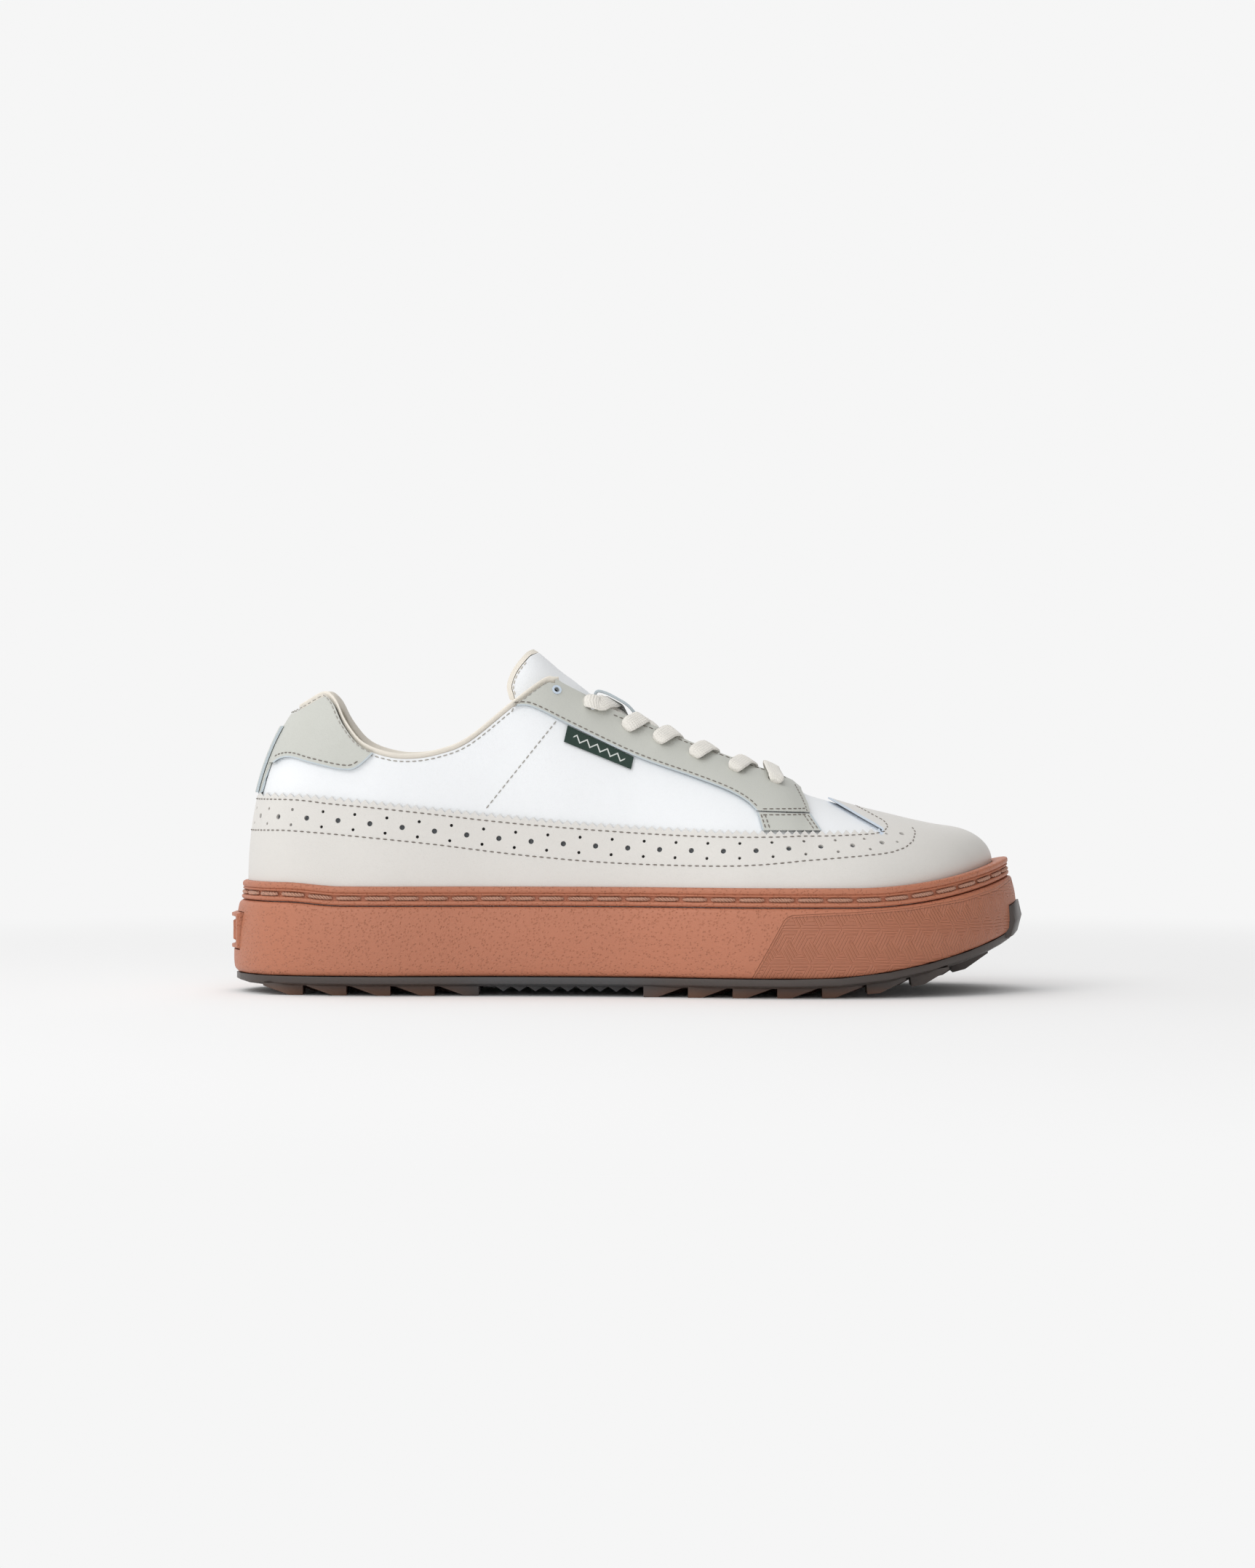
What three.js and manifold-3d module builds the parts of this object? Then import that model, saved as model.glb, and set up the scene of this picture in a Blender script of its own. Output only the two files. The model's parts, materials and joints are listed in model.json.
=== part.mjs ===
// A low golf shoe for the right foot: a rubber cupsole on a lugged outsole under a lasted leather upper.
// Millimetres. +X is the toe, +Z is up, +Y is the medial side and -Y the lateral side.
import * as THREE from 'three';
import { mergeVertices } from 'three/addons/utils/BufferGeometryUtils.js';
import Module from 'manifold-3d';

const wasm = await Module();
wasm.setup();

// Driving dimensions
const LENGTH = 305;              // heel badge to toe bumper
const BALL_WIDTH = 108;          // across the cupsole at the ball of the foot
const SOLE_HEIGHT = 41.3;        // ground to the top of the welt
const UPPER_RISE = 90.6;         // top of the welt to the tip of the tongue
const LUG_HEIGHT = 3.65;
const OUTSOLE_THICKNESS = 3.8;
const OUTSOLE_INSET = 1;         // outsole edge inside the cupsole's widest line
const BUMPER_HALF_WIDTH = 18;
const BUMPER_TOP = 10;           // above the foot of the cupsole at the toe
const BUMPER_PROUD = 2.2;
const CUP_FLOOR = 3;
const LUG_LAND = 5;              // flat foot of a lug, along the shoe
const LUG_RUN = 15;              // whole lug, along the shoe
const LUG_WIDTH = 15;
const LUG_PITCH = 16.7;
const SHANK_TOOTH_PITCH = 6.1;
const SHANK_TOOTH_HEIGHT = 2;
const WELT_HEIGHT = 7.3;
const WELT_INSET = 3.4;          // welt's outer bead inside the cupsole's widest line
const STITCH_GROOVE_DROP = 4.5;  // welt thread below the top of the welt
const THREAD_WIDTH = 1.2;
const HEEL_INSET = 7;            // upper inside the cupsole's widest line
const TOE_INSET = 11;
const UPPER_TUCK = 16.5;         // upper that runs down inside the cup
const WING_TUCK = 6.9;
const BOARD_THICKNESS = 1.6;
const SOCKLINER_THICKNESS = 4;
const LEATHER = 1.2;
const LINING = 0.7;
const STRAP = 1.1;
const FOAM_DEPTH = 2.3;
const PUFF_THICKNESS = 1;
const TONGUE_FOAM = 3.2;
const BINDING_WIDTH = 1.8;
const BACKSTAY_HALF_WIDTH = 6.5;
const BADGE_HALF_WIDTH = 14;
const BADGE_BOTTOM = 16.5;
const BADGE_TOP = 30.5;
const BADGE_THICKNESS = 3.4;
const BADGE_PROUD = 1;           // badge outside the cupsole's widest line
const LACE_WIDTH = 6.4;
const LACE_THICKNESS = 1.1;
const LACE_PLAY = 0.7;           // clear of the lining above and the tongue below
const LACE_ROUND = 2.6;           // width of the lace where it bunches in an eyelet
const EYELET_RADIUS = 2.8;
const FREE_EYELET_RADIUS = 1.2;
const LABEL_THICKNESS = 0.6;
const KEEPER_HALF_WIDTH = 6;
const KEEPER_PLAY = 2.35;        // clear of the lace below the keeper
const GAP = 0.3;                 // between pieces that touch

// The side views below are drawn for a shoe 305 long, with heights above the welt for a rise of 90.6.
const stretch = LENGTH / 305;
const spread = BALL_WIDTH / 108;
const lift = UPPER_RISE / 90.6;
const RING = 40;                 // stations round the shoe

const clamp01 = (v) => Math.min(1, Math.max(0, v));
const ease = (v) => clamp01(v) ** 2 * (3 - 2 * clamp01(v));

// A smooth height through [x, value] pairs, level beyond both ends.
function through(pairs, x) {
  const last = pairs.length - 1;
  if (x <= pairs[0][0]) return pairs[0][1];
  if (x >= pairs[last][0]) return pairs[last][1];
  const i = pairs.findIndex((pair) => pair[0] > x) - 1;
  const slope = (k) => {
    const a = pairs[Math.max(0, k - 1)];
    const b = pairs[Math.min(last, k + 1)];
    return (b[1] - a[1]) / (b[0] - a[0]);
  };
  const width = pairs[i + 1][0] - pairs[i][0];
  const s = (x - pairs[i][0]) / width;
  const rise = pairs[i + 1][1] - pairs[i][1];
  return pairs[i][1] + rise * s * s * (3 - 2 * s)
    + width * s * (1 - s) * (slope(i) * (1 - s) - slope(i + 1) * s);
}

// Plan outline of the cupsole: x, lateral y, medial y, from the heel to the toe.
const PLAN = [
  [-151.5, 0, 0], [-137, -29.5, 29], [-100, -40, 38], [-50, -39.5, 33.5], [0, -44, 37.5],
  [50, -55.5, 51.5], [98, -53, 52.5], [135, -30, 39.5], [150.3, 7, 7],
];
const planPoint = (x, y) => new THREE.Vector3(x * stretch, y * spread, 0);
const outline = new THREE.CatmullRomCurve3([
  ...PLAN.map(([x, y]) => planPoint(x, y)),
  ...PLAN.slice(1, -1).reverse().map(([x, , y]) => planPoint(x, y)),
], true, 'catmullrom', 0.5);

// A point of the outline, u from 0 at the heel by the lateral side to 0.5 at the toe, moved outwards.
function edge(u, offset = 0) {
  const p = outline.getPoint(u);
  const along = outline.getTangent(u);
  return new THREE.Vector2(p.x + along.y * offset, p.y - along.x * offset);
}

// Heights of the sole at x.
const soleLine = (x) => LUG_HEIGHT + OUTSOLE_THICKNESS
  + 0.0024 * Math.max(0, x / stretch - 66) ** 2;
const weltLine = (x) => SOLE_HEIGHT + 0.0027 * Math.max(0, x / stretch - 85) ** 2
  + 1.4 * ease((-108 - x / stretch) / 22);
const inset = (x) => HEEL_INSET + (TOE_INSET - HEEL_INSET) * clamp01((x / stretch - 60) / 80) ** 2;

// The last: a base on the welt, and a ridge over the instep that it closes to.
const RIDGE = [
  [-95, 83], [-70, 88], [-50, 94.5], [-37, 96], [-22, 85.4], [-5, 72.6], [10, 64.3], [22, 57.5],
  [34, 52], [46, 46.8], [56, 42.5], [62, 39], [68, 34.5], [77, 31.6], [89, 28], [100, 25.2],
  [112, 22], [119, 20.6],
];
const FULLNESS = [[-60, 2.3], [-40, 2.3], [-16, 1.95], [10, 1.7], [40, 1.6], [80, 1.8], [110, 2.2]];

function spineX(x) {
  const along = x / stretch;
  const toe = Math.max(0, along - 60) / 90.3;
  const heel = Math.max(0, -30 - along) / 121.5;
  const shortened = Math.min(60, Math.max(-30, along))
    + 90.3 * (toe - 0.356 * toe * toe) - 121.5 * (heel - 0.47 * heel * heel);
  return shortened * stretch;
}
const spineY = (x) => 0.03 * Math.max(0, x / stretch + 30) * spread;
const ridgeLine = (x) => SOLE_HEIGHT + lift * through(RIDGE, x / stretch);
const ridgeSlope = (x) => (ridgeLine(x + 2) - ridgeLine(x - 2)) / 4;

// A point of the upper: t from 0 at the welt to 1 at the ridge, and below 0 inside the cup.
function skin(u, t, depth, tuck = UPPER_TUCK) {
  const x = edge(u).x;
  const base = edge(u, depth - inset(x));
  const centreX = spineX(x);
  const centreY = spineY(centreX);
  const foot = weltLine(base.x);
  if (t < 0) return new THREE.Vector3(base.x, base.y, foot + t * tuck);
  const top = ridgeLine(centreX) + depth * Math.hypot(1, ridgeSlope(centreX));
  const angle = t * Math.PI / 2;
  const reach = Math.cos(angle) ** (2 / through(FULLNESS, centreX / stretch));
  return new THREE.Vector3(
    centreX + (base.x - centreX) * reach,
    centreY + (base.y - centreY) * reach,
    foot + (top - foot) * Math.sin(angle),
  );
}

// How deep the outside of the lining lies: over the heel's foam and the toe's puff, or right behind the leather.
const LINING_DEPTH = LEATHER + GAP;
const COLLAR_DEPTH = LINING_DEPTH + FOAM_DEPTH + GAP;
const TOE_DEPTH = LINING_DEPTH + PUFF_THICKNESS + GAP;
function liningDepth(x) {
  const heel = ease((-52 - x / stretch) / 18);
  const toe = ease((x / stretch - 74) / 14);
  return LINING_DEPTH + (COLLAR_DEPTH - LINING_DEPTH) * heel + (TOE_DEPTH - LINING_DEPTH) * toe;
}
const TONGUE_DEPTH = LINING_DEPTH + LINING + LACE_THICKNESS + 2 * LACE_PLAY + 0.5;

// Solids

function solid(points, faces) {
  let volume = 0;
  for (const [a, b, c] of faces) {
    volume += points[a].dot(points[b].clone().cross(points[c]));
  }
  const ordered = volume > 0 ? faces : faces.map(([a, b, c]) => [a, c, b]);
  const geometry = new THREE.BufferGeometry().setFromPoints(points);
  geometry.setIndex(ordered.flat());
  return manifold(geometry);
}

function manifold(geometry) {
  const bare = new THREE.BufferGeometry();
  bare.setAttribute('position', geometry.getAttribute('position'));
  bare.setIndex(geometry.getIndex());
  const merged = mergeVertices(bare, 1e-4);
  return new wasm.Manifold(new wasm.Mesh({
    numProp: 3,
    vertProperties: new Float32Array(merged.getAttribute('position').array),
    triVerts: new Uint32Array(merged.getIndex().array),
  }));
}

function fromManifold(body) {
  const mesh = body.getMesh();
  const geometry = new THREE.BufferGeometry();
  geometry.setAttribute('position', new THREE.BufferAttribute(mesh.vertProperties, 3));
  geometry.setIndex(new THREE.BufferAttribute(mesh.triVerts, 1));
  return geometry;
}

// Joins equal closed rings in their order; both ends are zipped shut across the shoe. The first steps
// that run down are split along the same diagonals as those that run up, so that layers nest.
function stack(rings, descending = 0) {
  const count = rings[0].length;
  const faces = bands(rings, rings.length - 1, descending);
  for (const start of [0, (rings.length - 1) * count]) {
    const flip = start === 0;
    for (let i = 0; i < count / 2; i += 1) {
      const lateral = [start + i, start + i + 1];
      const medial = [start + (count - i) % count, start + count - i - 1];
      const pair = [[lateral[0], lateral[1], medial[1]], [lateral[0], medial[1], medial[0]]];
      for (const [a, b, c] of pair) {
        if (a !== b && b !== c && a !== c) faces.push(flip ? [a, c, b] : [a, b, c]);
      }
    }
  }
  return solid(rings.flat(), faces);
}

// Joins equal closed rings in their order and back to the first one, as a hoop.
const hoop = (rings) => solid(rings.flat(), bands(rings, rings.length));

function bands(rings, steps, descending = 0) {
  const count = rings[0].length;
  const faces = [];
  for (let r = 0; r < steps; r += 1) {
    const below = r * count;
    const above = ((r + 1) % rings.length) * count;
    for (let i = 0; i < count; i += 1) {
      const next = (i + 1) % count;
      if (r < descending) {
        faces.push([below + i, below + next, above + i], [below + next, above + next, above + i]);
      } else {
        faces.push([below + i, below + next, above + next], [below + i, above + next, above + i]);
      }
    }
  }
  return faces;
}

// A ring round the sole at an offset from the cupsole's outline and at a height that follows x.
function soleRing(offset, height) {
  return Array.from({ length: RING }, (_, i) => {
    const u = i / RING;
    const p = edge(u, typeof offset === 'number' ? offset : offset(edge(u).x));
    return new THREE.Vector3(p.x, p.y, height(p.x));
  });
}

// A layer of the upper between two depths, closed over the ridge.
const ROWS = [0, 0.2, 0.4, 0.58, 0.72, 0.84, 0.94];
function layer(inner, outer, tuck = UPPER_TUCK) {
  const ring = (t, depth) => Array.from({ length: RING }, (_, i) => {
    const u = i / RING;
    return skin(u, t, typeof depth === 'number' ? depth : depth(edge(u).x), tuck);
  });
  return stack([
    ...[...ROWS].reverse().map((t) => ring(t, inner)), ring(-1, inner),
    ring(-1, outer), ...ROWS.map((t) => ring(t, outer)),
  ], ROWS.length);
}

// A block with a side-view outline, through the whole width or between two y.
function sideBlock(points, from = -100, to = 100) {
  const shape = new THREE.Shape(points.map(([x, rise]) => new THREE.Vector2(
    x * stretch, SOLE_HEIGHT + lift * rise)));
  const geometry = new THREE.ExtrudeGeometry(shape, { depth: to - from, bevelEnabled: false });
  return manifold(geometry.rotateX(Math.PI / 2).translate(0, to, 0));
}

function box(x0, x1, y0, y1, z0, z1) {
  const geometry = new THREE.BoxGeometry(x1 - x0, y1 - y0, z1 - z0);
  return manifold(geometry.translate((x0 + x1) / 2, (y0 + y1) / 2, (z0 + z1) / 2));
}

const smooth = (points, count) => new THREE.SplineCurve(points.map(([x, y]) => new THREE.Vector2(x, y)))
  .getPoints(count).map((p) => [p.x, p.y]);

// A side-view line moved down or back by a distance.
function lowered(points, distance) {
  return points.map(([x, y], i) => {
    const a = points[Math.max(0, i - 1)];
    const b = points[Math.min(points.length - 1, i + 1)];
    const length = Math.hypot(b[0] - a[0], b[1] - a[1]);
    return [x + distance * (b[1] - a[1]) / length, y - distance * (b[0] - a[0]) / length];
  });
}

const under = (line, bottom = -40) => [
  [line[0][0], bottom], ...line, [line[line.length - 1][0], bottom],
];

// Side-view lines: [x, rise above the welt]
const TOPLINE = smooth([
  [-150, 62], [-136, 65], [-125.4, 69], [-116, 73.8], [-110.7, 70.6], [-106.4, 62.3], [-100, 54.6],
  [-91, 51], [-82, 50.2], [-72, 51.8], [-61, 56.3], [-44, 70], [-32, 78.5], [-27.5, 79],
], 30);
const WING_EDGE = smooth([
  [-152, 33.2], [-126, 33.4], [-94, 30.4], [-58, 26.6], [-15, 22.8], [34, 20.2], [75, 19.7], [95.5, 19.9],
], 12);
const WING_PEAK = [77.6, 32.4];
const EYESTAY_EDGE = smooth([
  [-44.3, 68], [-38, 68.3], [-31.6, 65.8], [-22.7, 61.3], [2.7, 49.2], [25.4, 41.1], [38, 36.2],
  [45, 32.2], [48.5, 28.8],
], 16);
const EYESTAY_FRONT = [[69.2, 28], [68.6, 31.2], [66.8, 36], [66.8, 60]];
const LEG = [[48.9, 28.2], [50.6, 21.5], [73.2, 21.3], [69.4, 27.4]];
const TAB_EDGE = smooth([
  [-152, 34.6], [-140.6, 34.8], [-138.4, 41], [-135, 46.8], [-129, 48.7], [-120.5, 46.6], [-108, 44], [-102, 45.2],
  [-94, 52.5],
], 18);
const VAMP_LINE = [[57, -40], [60, 10], [61, 60]];
const TONGUE_REAR = smooth([
  [-30, 98], [-36.9, 90.6], [-44.3, 82.4], [-46.3, 76], [-44.9, 70.6],
], 8);
const TONGUE_SIDE = [
  [-44.9, 70.6], [-30, 65], [-15, 58], [0, 51], [20, 43.5], [40, 36], [60, 29.5], [70.5, 26.5],
];
const LABEL = [[-22.7, 60.8], [-24.1, 54.6], [1.3, 44.2], [2.4, 48.8]];
const EYELETS = [
  [-27.4, 73.7], [-14.5, 68.1], [0.4, 59.6], [12.2, 54.6], [26, 48.7], [40.9, 43.3], [55.5, 38.8],
];

// The keeper's run along the tongue, and its height as a share of its crown's.
const KEEPER = [[-16.5, 0], [-14.6, 0.6], [-11.5, 1], [-3.5, 1], [-1.6, 0.75], [-0.2, 0.3], [0.6, 0]];
// How far ahead of its eyelet the loose end of the lace lies, as it drops inside the shoe and runs forward.
const TAIL = [[0.004, 0.66], [0.008, 0.5], [0.014, 0.32], [0.024, 0.12], [0.045, -0.1], [0.08, -0.32],
  [0.12, -0.42], [0.16, -0.45], [0.2, -0.45]];

// The throat between the eyestays: half its width against x.
const THROAT = [[-60, 22], [-27, 19], [-5, 16], [22, 13], [46, 11.2], [56, 9.5], [61, 6.5], [63.5, 2]];

function throatBlock() {
  const xs = THROAT.map(([x]) => x * stretch);
  const half = (x) => through(THROAT, x / stretch) * spread;
  const lateral = xs.map((x) => new THREE.Vector2(x, spineY(x) - half(x)));
  const medial = xs.map((x) => new THREE.Vector2(x, spineY(x) + half(x)));
  const shape = new THREE.Shape([...lateral, ...medial.reverse()]);
  return manifold(new THREE.ExtrudeGeometry(shape, { depth: 150, bevelEnabled: false }));
}

// The point of the upper over (x, rise) of the side view, lateral (-1) or medial (1).
function onSide(x, rise, side, depth) {
  const goal = new THREE.Vector2(x * stretch, SOLE_HEIGHT + lift * rise);
  let h = clamp01((goal.x + LENGTH / 2) / LENGTH);
  let t = 0.5;
  const at = (a, b) => skin(side < 0 ? a / 2 : 1 - a / 2, b, depth);
  for (let k = 0; k < 30; k += 1) {
    const p = at(h, t);
    const dh = at(h + 1e-4, t).sub(p).multiplyScalar(1e4);
    const dt = at(h, t + 1e-4).sub(p).multiplyScalar(1e4);
    const ex = goal.x - p.x;
    const ez = goal.y - p.z;
    const det = dh.x * dt.z - dh.z * dt.x;
    h = Math.min(0.99, Math.max(0.01, h + 0.7 * (ex * dt.z - ez * dt.x) / det));
    t = Math.min(0.99, Math.max(0, t + 0.7 * (ez * dh.x - ex * dh.z) / det));
  }
  return { h, t, u: side < 0 ? h / 2 : 1 - h / 2, point: at(h, t) };
}

const eyelets = [-1, 1].map((side) => EYELETS.map(([x, rise]) => {
  const { u, t } = onSide(x, rise, side, 0);
  return { u, t, point: onFacets(u, t, 0), normal: skinUp(u, t) };
}));

function eyeletHoles() {
  const drills = eyelets.flatMap((row) => row.map(({ point, normal }, i) => {
    const radius = i === 0 ? FREE_EYELET_RADIUS : EYELET_RADIUS;
    const geometry = new THREE.CylinderGeometry(radius, radius, 12, 6);
    const turn = new THREE.Quaternion().setFromUnitVectors(new THREE.Vector3(0, 1, 0), normal);
    geometry.applyQuaternion(turn).translate(point.x, point.y, point.z);
    return manifold(geometry);
  }));
  return drills.reduce((all, drill) => all.add(drill));
}

// Sole unit

const cupWall = (x) => GAP - inset(x);
const footLine = (x) => weltLine(x) - UPPER_TUCK;

function bumperRing(outward, extra) {
  const toeY = edge(0.5).y;
  const foot = (x) => soleLine(x) - 2;
  const top = (x) => soleLine(x) + BUMPER_TOP;
  const ring = hoop([
    soleRing(-2.3 - extra, (x) => foot(x) - extra), soleRing(outward - 1.6, (x) => foot(x) - extra),
    soleRing(outward, (x) => soleLine(x) + 0.35 * BUMPER_TOP),
    soleRing(outward - 1.4, (x) => top(x) + extra),
    soleRing(-2.3 - extra, (x) => top(x) + extra),
  ]);
  const half = BUMPER_HALF_WIDTH + extra;
  return ring.intersect(box(LENGTH / 4, LENGTH, toeY - half, toeY + half, -1, SOLE_HEIGHT * 2));
}

// Wedge lugs in rows: those of the heel face the toe, and those of the forefoot face the heel.
function lugs() {
  const rows = [];
  const across = (x, share) => lateralY(x) + (medialY(x) - lateralY(x)) * share;
  const place = (x, y, heel) => {
    const slope = heel ? -1 : 1;
    const profile = [
      [0, 1], [0, -LUG_HEIGHT], [slope * LUG_LAND, -LUG_HEIGHT], [slope * LUG_RUN, 0], [slope * LUG_RUN, 1],
    ];
    const shape = new THREE.Shape(profile.map(([a, b]) => new THREE.Vector2(a, b)));
    const geometry = new THREE.ExtrudeGeometry(shape, { depth: LUG_WIDTH, bevelEnabled: false });
    const toeSpring = Math.atan(0.0048 * Math.max(0, (x / stretch) - 66));
    geometry.rotateX(Math.PI / 2).translate(0, LUG_WIDTH / 2, 0).rotateY(-toeSpring)
      .translate(x, y, soleLine(x) - OUTSOLE_THICKNESS);
    rows.push(manifold(geometry));
  };
  const pitch = LUG_PITCH * stretch;
  for (let i = 0; i < 5; i += 1) {
    const x = -131 * stretch + i * pitch;
    for (const share of [0.17, 0.83]) place(x + 8, across(x, share), true);
    if (i < 4) place(x + 16, across(x, 0.5), true);
  }
  for (let i = 0; i < 8; i += 1) {
    const x = 6 * stretch + i * pitch;
    for (const share of (i < 7 ? [0.13, 0.87] : [0.3, 0.7])) place(x, across(x + 7, share), false);
    if (i < 7) {
      for (const share of [0.38, 0.62]) place(x + pitch / 2, across(x + 7, share), false);
    }
  }
  return rows;
}

// The outline's y at x, lateral and medial.
function outlineY(x, side) {
  let low = 0;
  let high = 0.5;
  for (let k = 0; k < 30; k += 1) {
    const middle = (low + high) / 2;
    if (outline.getPoint(middle).x < x) low = middle;
    else high = middle;
  }
  return outline.getPoint(side < 0 ? low : 1 - low).y;
}
const lateralY = (x) => outlineY(x, -1);
const medialY = (x) => outlineY(x, 1);

function shankTeeth() {
  const pitch = SHANK_TOOTH_PITCH * stretch;
  const rim = 6;
  return Array.from({ length: 9 }, (_, i) => {
    const x = (-50 * stretch) + i * pitch;
    const foot = soleLine(x) - OUTSOLE_THICKNESS;
    const shape = new THREE.Shape([[0, 1], [0, 0], [pitch / 2, -SHANK_TOOTH_HEIGHT], [pitch, 0], [pitch, 1]]
      .map(([a, b]) => new THREE.Vector2(a, b)));
    const lateral = lateralY(x) + rim;
    const depth = medialY(x) - rim - lateral;
    const geometry = new THREE.ExtrudeGeometry(shape, { depth, bevelEnabled: false });
    return manifold(geometry.rotateX(Math.PI / 2).translate(x, lateral + depth, foot));
  });
}

function outsole() {
  const plate = stack([
    soleRing(-OUTSOLE_INSET - 3.5, (x) => soleLine(x) - OUTSOLE_THICKNESS),
    soleRing(-OUTSOLE_INSET, (x) => soleLine(x) - 2.6),
    soleRing(-OUTSOLE_INSET, (x) => soleLine(x) - GAP / 2),
  ]);
  return [bumperRing(BUMPER_PROUD, 0), ...shankTeeth(), ...lugs()].reduce((all, one) => all.add(one), plate);
}

// The heel badge, or with room round it, its recess in the cupsole.
function heelBlock(proud, extra) {
  const inner = BADGE_PROUD - BADGE_THICKNESS - extra;
  const bottom = () => BADGE_BOTTOM - extra;
  const top = () => BADGE_TOP + extra;
  const outward = hoop([
    soleRing(inner, bottom), soleRing(proud, bottom), soleRing(proud, top), soleRing(inner, top),
  ]);
  const half = BADGE_HALF_WIDTH + extra;
  return outward.intersect(box(-LENGTH, -LENGTH / 4, -half, half, 0, SOLE_HEIGHT));
}

function cupsole() {
  const lip = (x) => weltLine(x) - WELT_HEIGHT - GAP;
  const cup = stack([
    soleRing(-1.8, (x) => soleLine(x) + GAP / 2),
    soleRing(-0.2, (x) => soleLine(x) + 2),
    soleRing(0, (x) => soleLine(x) + 8),
    soleRing(-2, (x) => lip(x) - 1.5),
    soleRing(-3.2, lip),
    soleRing(cupWall, lip),
    soleRing(cupWall, (x) => soleLine(x) + CUP_FLOOR),
  ]);
  return cup.subtract(bumperRing(BUMPER_PROUD + 4, GAP)).subtract(heelBlock(BADGE_PROUD + 3, GAP));
}

function midsoleCore() {
  const wall = (x) => cupWall(x) - GAP;
  return stack([
    soleRing(wall, (x) => soleLine(x) + CUP_FLOOR + GAP),
    soleRing(wall, (x) => footLine(x) - GAP),
  ]);
}

const insideLining = (x) => -inset(x) - liningDepth(x) - LINING - GAP;

function strobelBoard() {
  return stack([
    soleRing(insideLining, footLine),
    soleRing(insideLining, (x) => footLine(x) + BOARD_THICKNESS),
  ]);
}

function sockliner() {
  const bottom = (x) => footLine(x) + BOARD_THICKNESS + GAP;
  return stack([
    soleRing((x) => insideLining(x) - GAP, bottom),
    soleRing((x) => insideLining(x) - GAP, (x) => bottom(x) + SOCKLINER_THICKNESS),
    soleRing((x) => insideLining(x) - 4, (x) => bottom(x) + SOCKLINER_THICKNESS - 0.8),
  ]);
}

function welt() {
  const inner = (x) => -inset(x) + LEATHER + 2 * GAP;
  const at = (drop) => (x) => weltLine(x) - drop;
  const groove = STITCH_GROOVE_DROP;
  return hoop([
    soleRing(inner, at(0)),
    soleRing(-WELT_INSET, at(0.4)),
    soleRing(-WELT_INSET, at(groove - 1.1)),
    soleRing(-WELT_INSET - 1.2, at(groove - 1)),
    soleRing(-WELT_INSET - 1.2, at(groove + 0.8)),
    soleRing(-WELT_INSET + 0.4, at(groove + 0.9)),
    soleRing(-WELT_INSET + 0.4, at(WELT_HEIGHT)),
    soleRing(inner, at(WELT_HEIGHT)),
  ]);
}

function weltThread() {
  const at = (drop) => (x) => weltLine(x) - STITCH_GROOVE_DROP + 0.1 - drop;
  const out = -WELT_INSET - 0.9;
  const half = THREAD_WIDTH / 2 - 0.05;
  return hoop([
    soleRing(out, at(0)), soleRing(out + half, at(-half)),
    soleRing(out + 2 * half, at(0)), soleRing(out + half, at(half)),
  ]);
}

// Upper

const throat = throatBlock();
const holes = eyeletHoles();
const behindVamp = (offset) => [
  [-160, -40], [-160, 140], [VAMP_LINE[2][0] - offset, 140],
  [VAMP_LINE[1][0] - offset, VAMP_LINE[1][1]], [VAMP_LINE[0][0] - offset, -40],
];
const aheadOfVamp = (offset) => [
  [VAMP_LINE[0][0] + offset, -40], [VAMP_LINE[1][0] + offset, VAMP_LINE[1][1]],
  [VAMP_LINE[2][0] + offset, 140], [160, 140], [160, -40],
];
const belowCollar = (distance) => {
  const line = lowered(TOPLINE, distance);
  const front = line[line.length - 1];
  return [[-152, -40], ...line.slice(1), [front[0] + 4, front[1] + 30], [160, 110], [160, -40]];
};
const quarterBlock = sideBlock(belowCollar(BINDING_WIDTH + GAP));
const halfBlock = (side, y = GAP / 2) => (side < 0
  ? box(-LENGTH, LENGTH, -100, -y, 0, 300) : box(-LENGTH, LENGTH, y, 100, 0, 300));

function quarters() {
  const leather = layer(-LEATHER, 0).intersect(quarterBlock)
    .intersect(sideBlock(behindVamp(GAP / 2))).subtract(throat).subtract(holes);
  return [-1, 1].map((side) => leather.intersect(halfBlock(side)));
}

function vamp() {
  return layer(-LEATHER, 0).intersect(sideBlock(aheadOfVamp(GAP / 2))).subtract(throat).subtract(holes);
}

function linings() {
  const cloth = layer((x) => -liningDepth(x) - LINING, (x) => -liningDepth(x));
  const front = cloth.intersect(sideBlock(aheadOfVamp(GAP / 2)));
  const rear = cloth.intersect(quarterBlock).intersect(sideBlock(behindVamp(GAP / 2)));
  const heelCut = [[-160, -40], [-160, 120], [-84, 120], [-84, 40], [-78, -40]];
  const heel = rear.intersect(sideBlock(heelCut));
  const middle = rear.subtract(sideBlock(heelCut.map(([x, y], i) => [i < 2 ? x : x + GAP, y])));
  const sides = [-1, 1].map((side) => middle.intersect(halfBlock(side)).subtract(throat).subtract(holes));
  return { front: front.subtract(throat).subtract(holes), heel, sides };
}

function collarFoam() {
  const depth = (x) => -liningDepth(x) + GAP;
  const outer = -LEATHER - GAP;
  const body = layer((x) => Math.min(outer - 0.4, depth(x)), outer);
  const line = lowered(TOPLINE, BINDING_WIDTH + 2 * GAP).filter(([x]) => x > -152 && x < -60);
  const low = lowered(TOPLINE, 21).filter(([x]) => x < -60 && x > -116).reverse();
  return body.intersect(sideBlock([[-152, 70], ...line, [-60, 48], ...low, [-116, 43], [-152, 43]]));
}

function heelCounter() {
  const body = layer((x) => -liningDepth(x) + GAP, -LEATHER - GAP);
  return body.intersect(sideBlock([[-160, -40], [-160, 42.5], [-118, 42.5], [-108, 32], [-92, 26], [-80, -40]]));
}

function toePuff() {
  const body = layer(-LEATHER - GAP - PUFF_THICKNESS, -LEATHER - GAP);
  return body.intersect(sideBlock([[92, -40], [96, 40], [160, 40], [160, -40]]));
}

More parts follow.
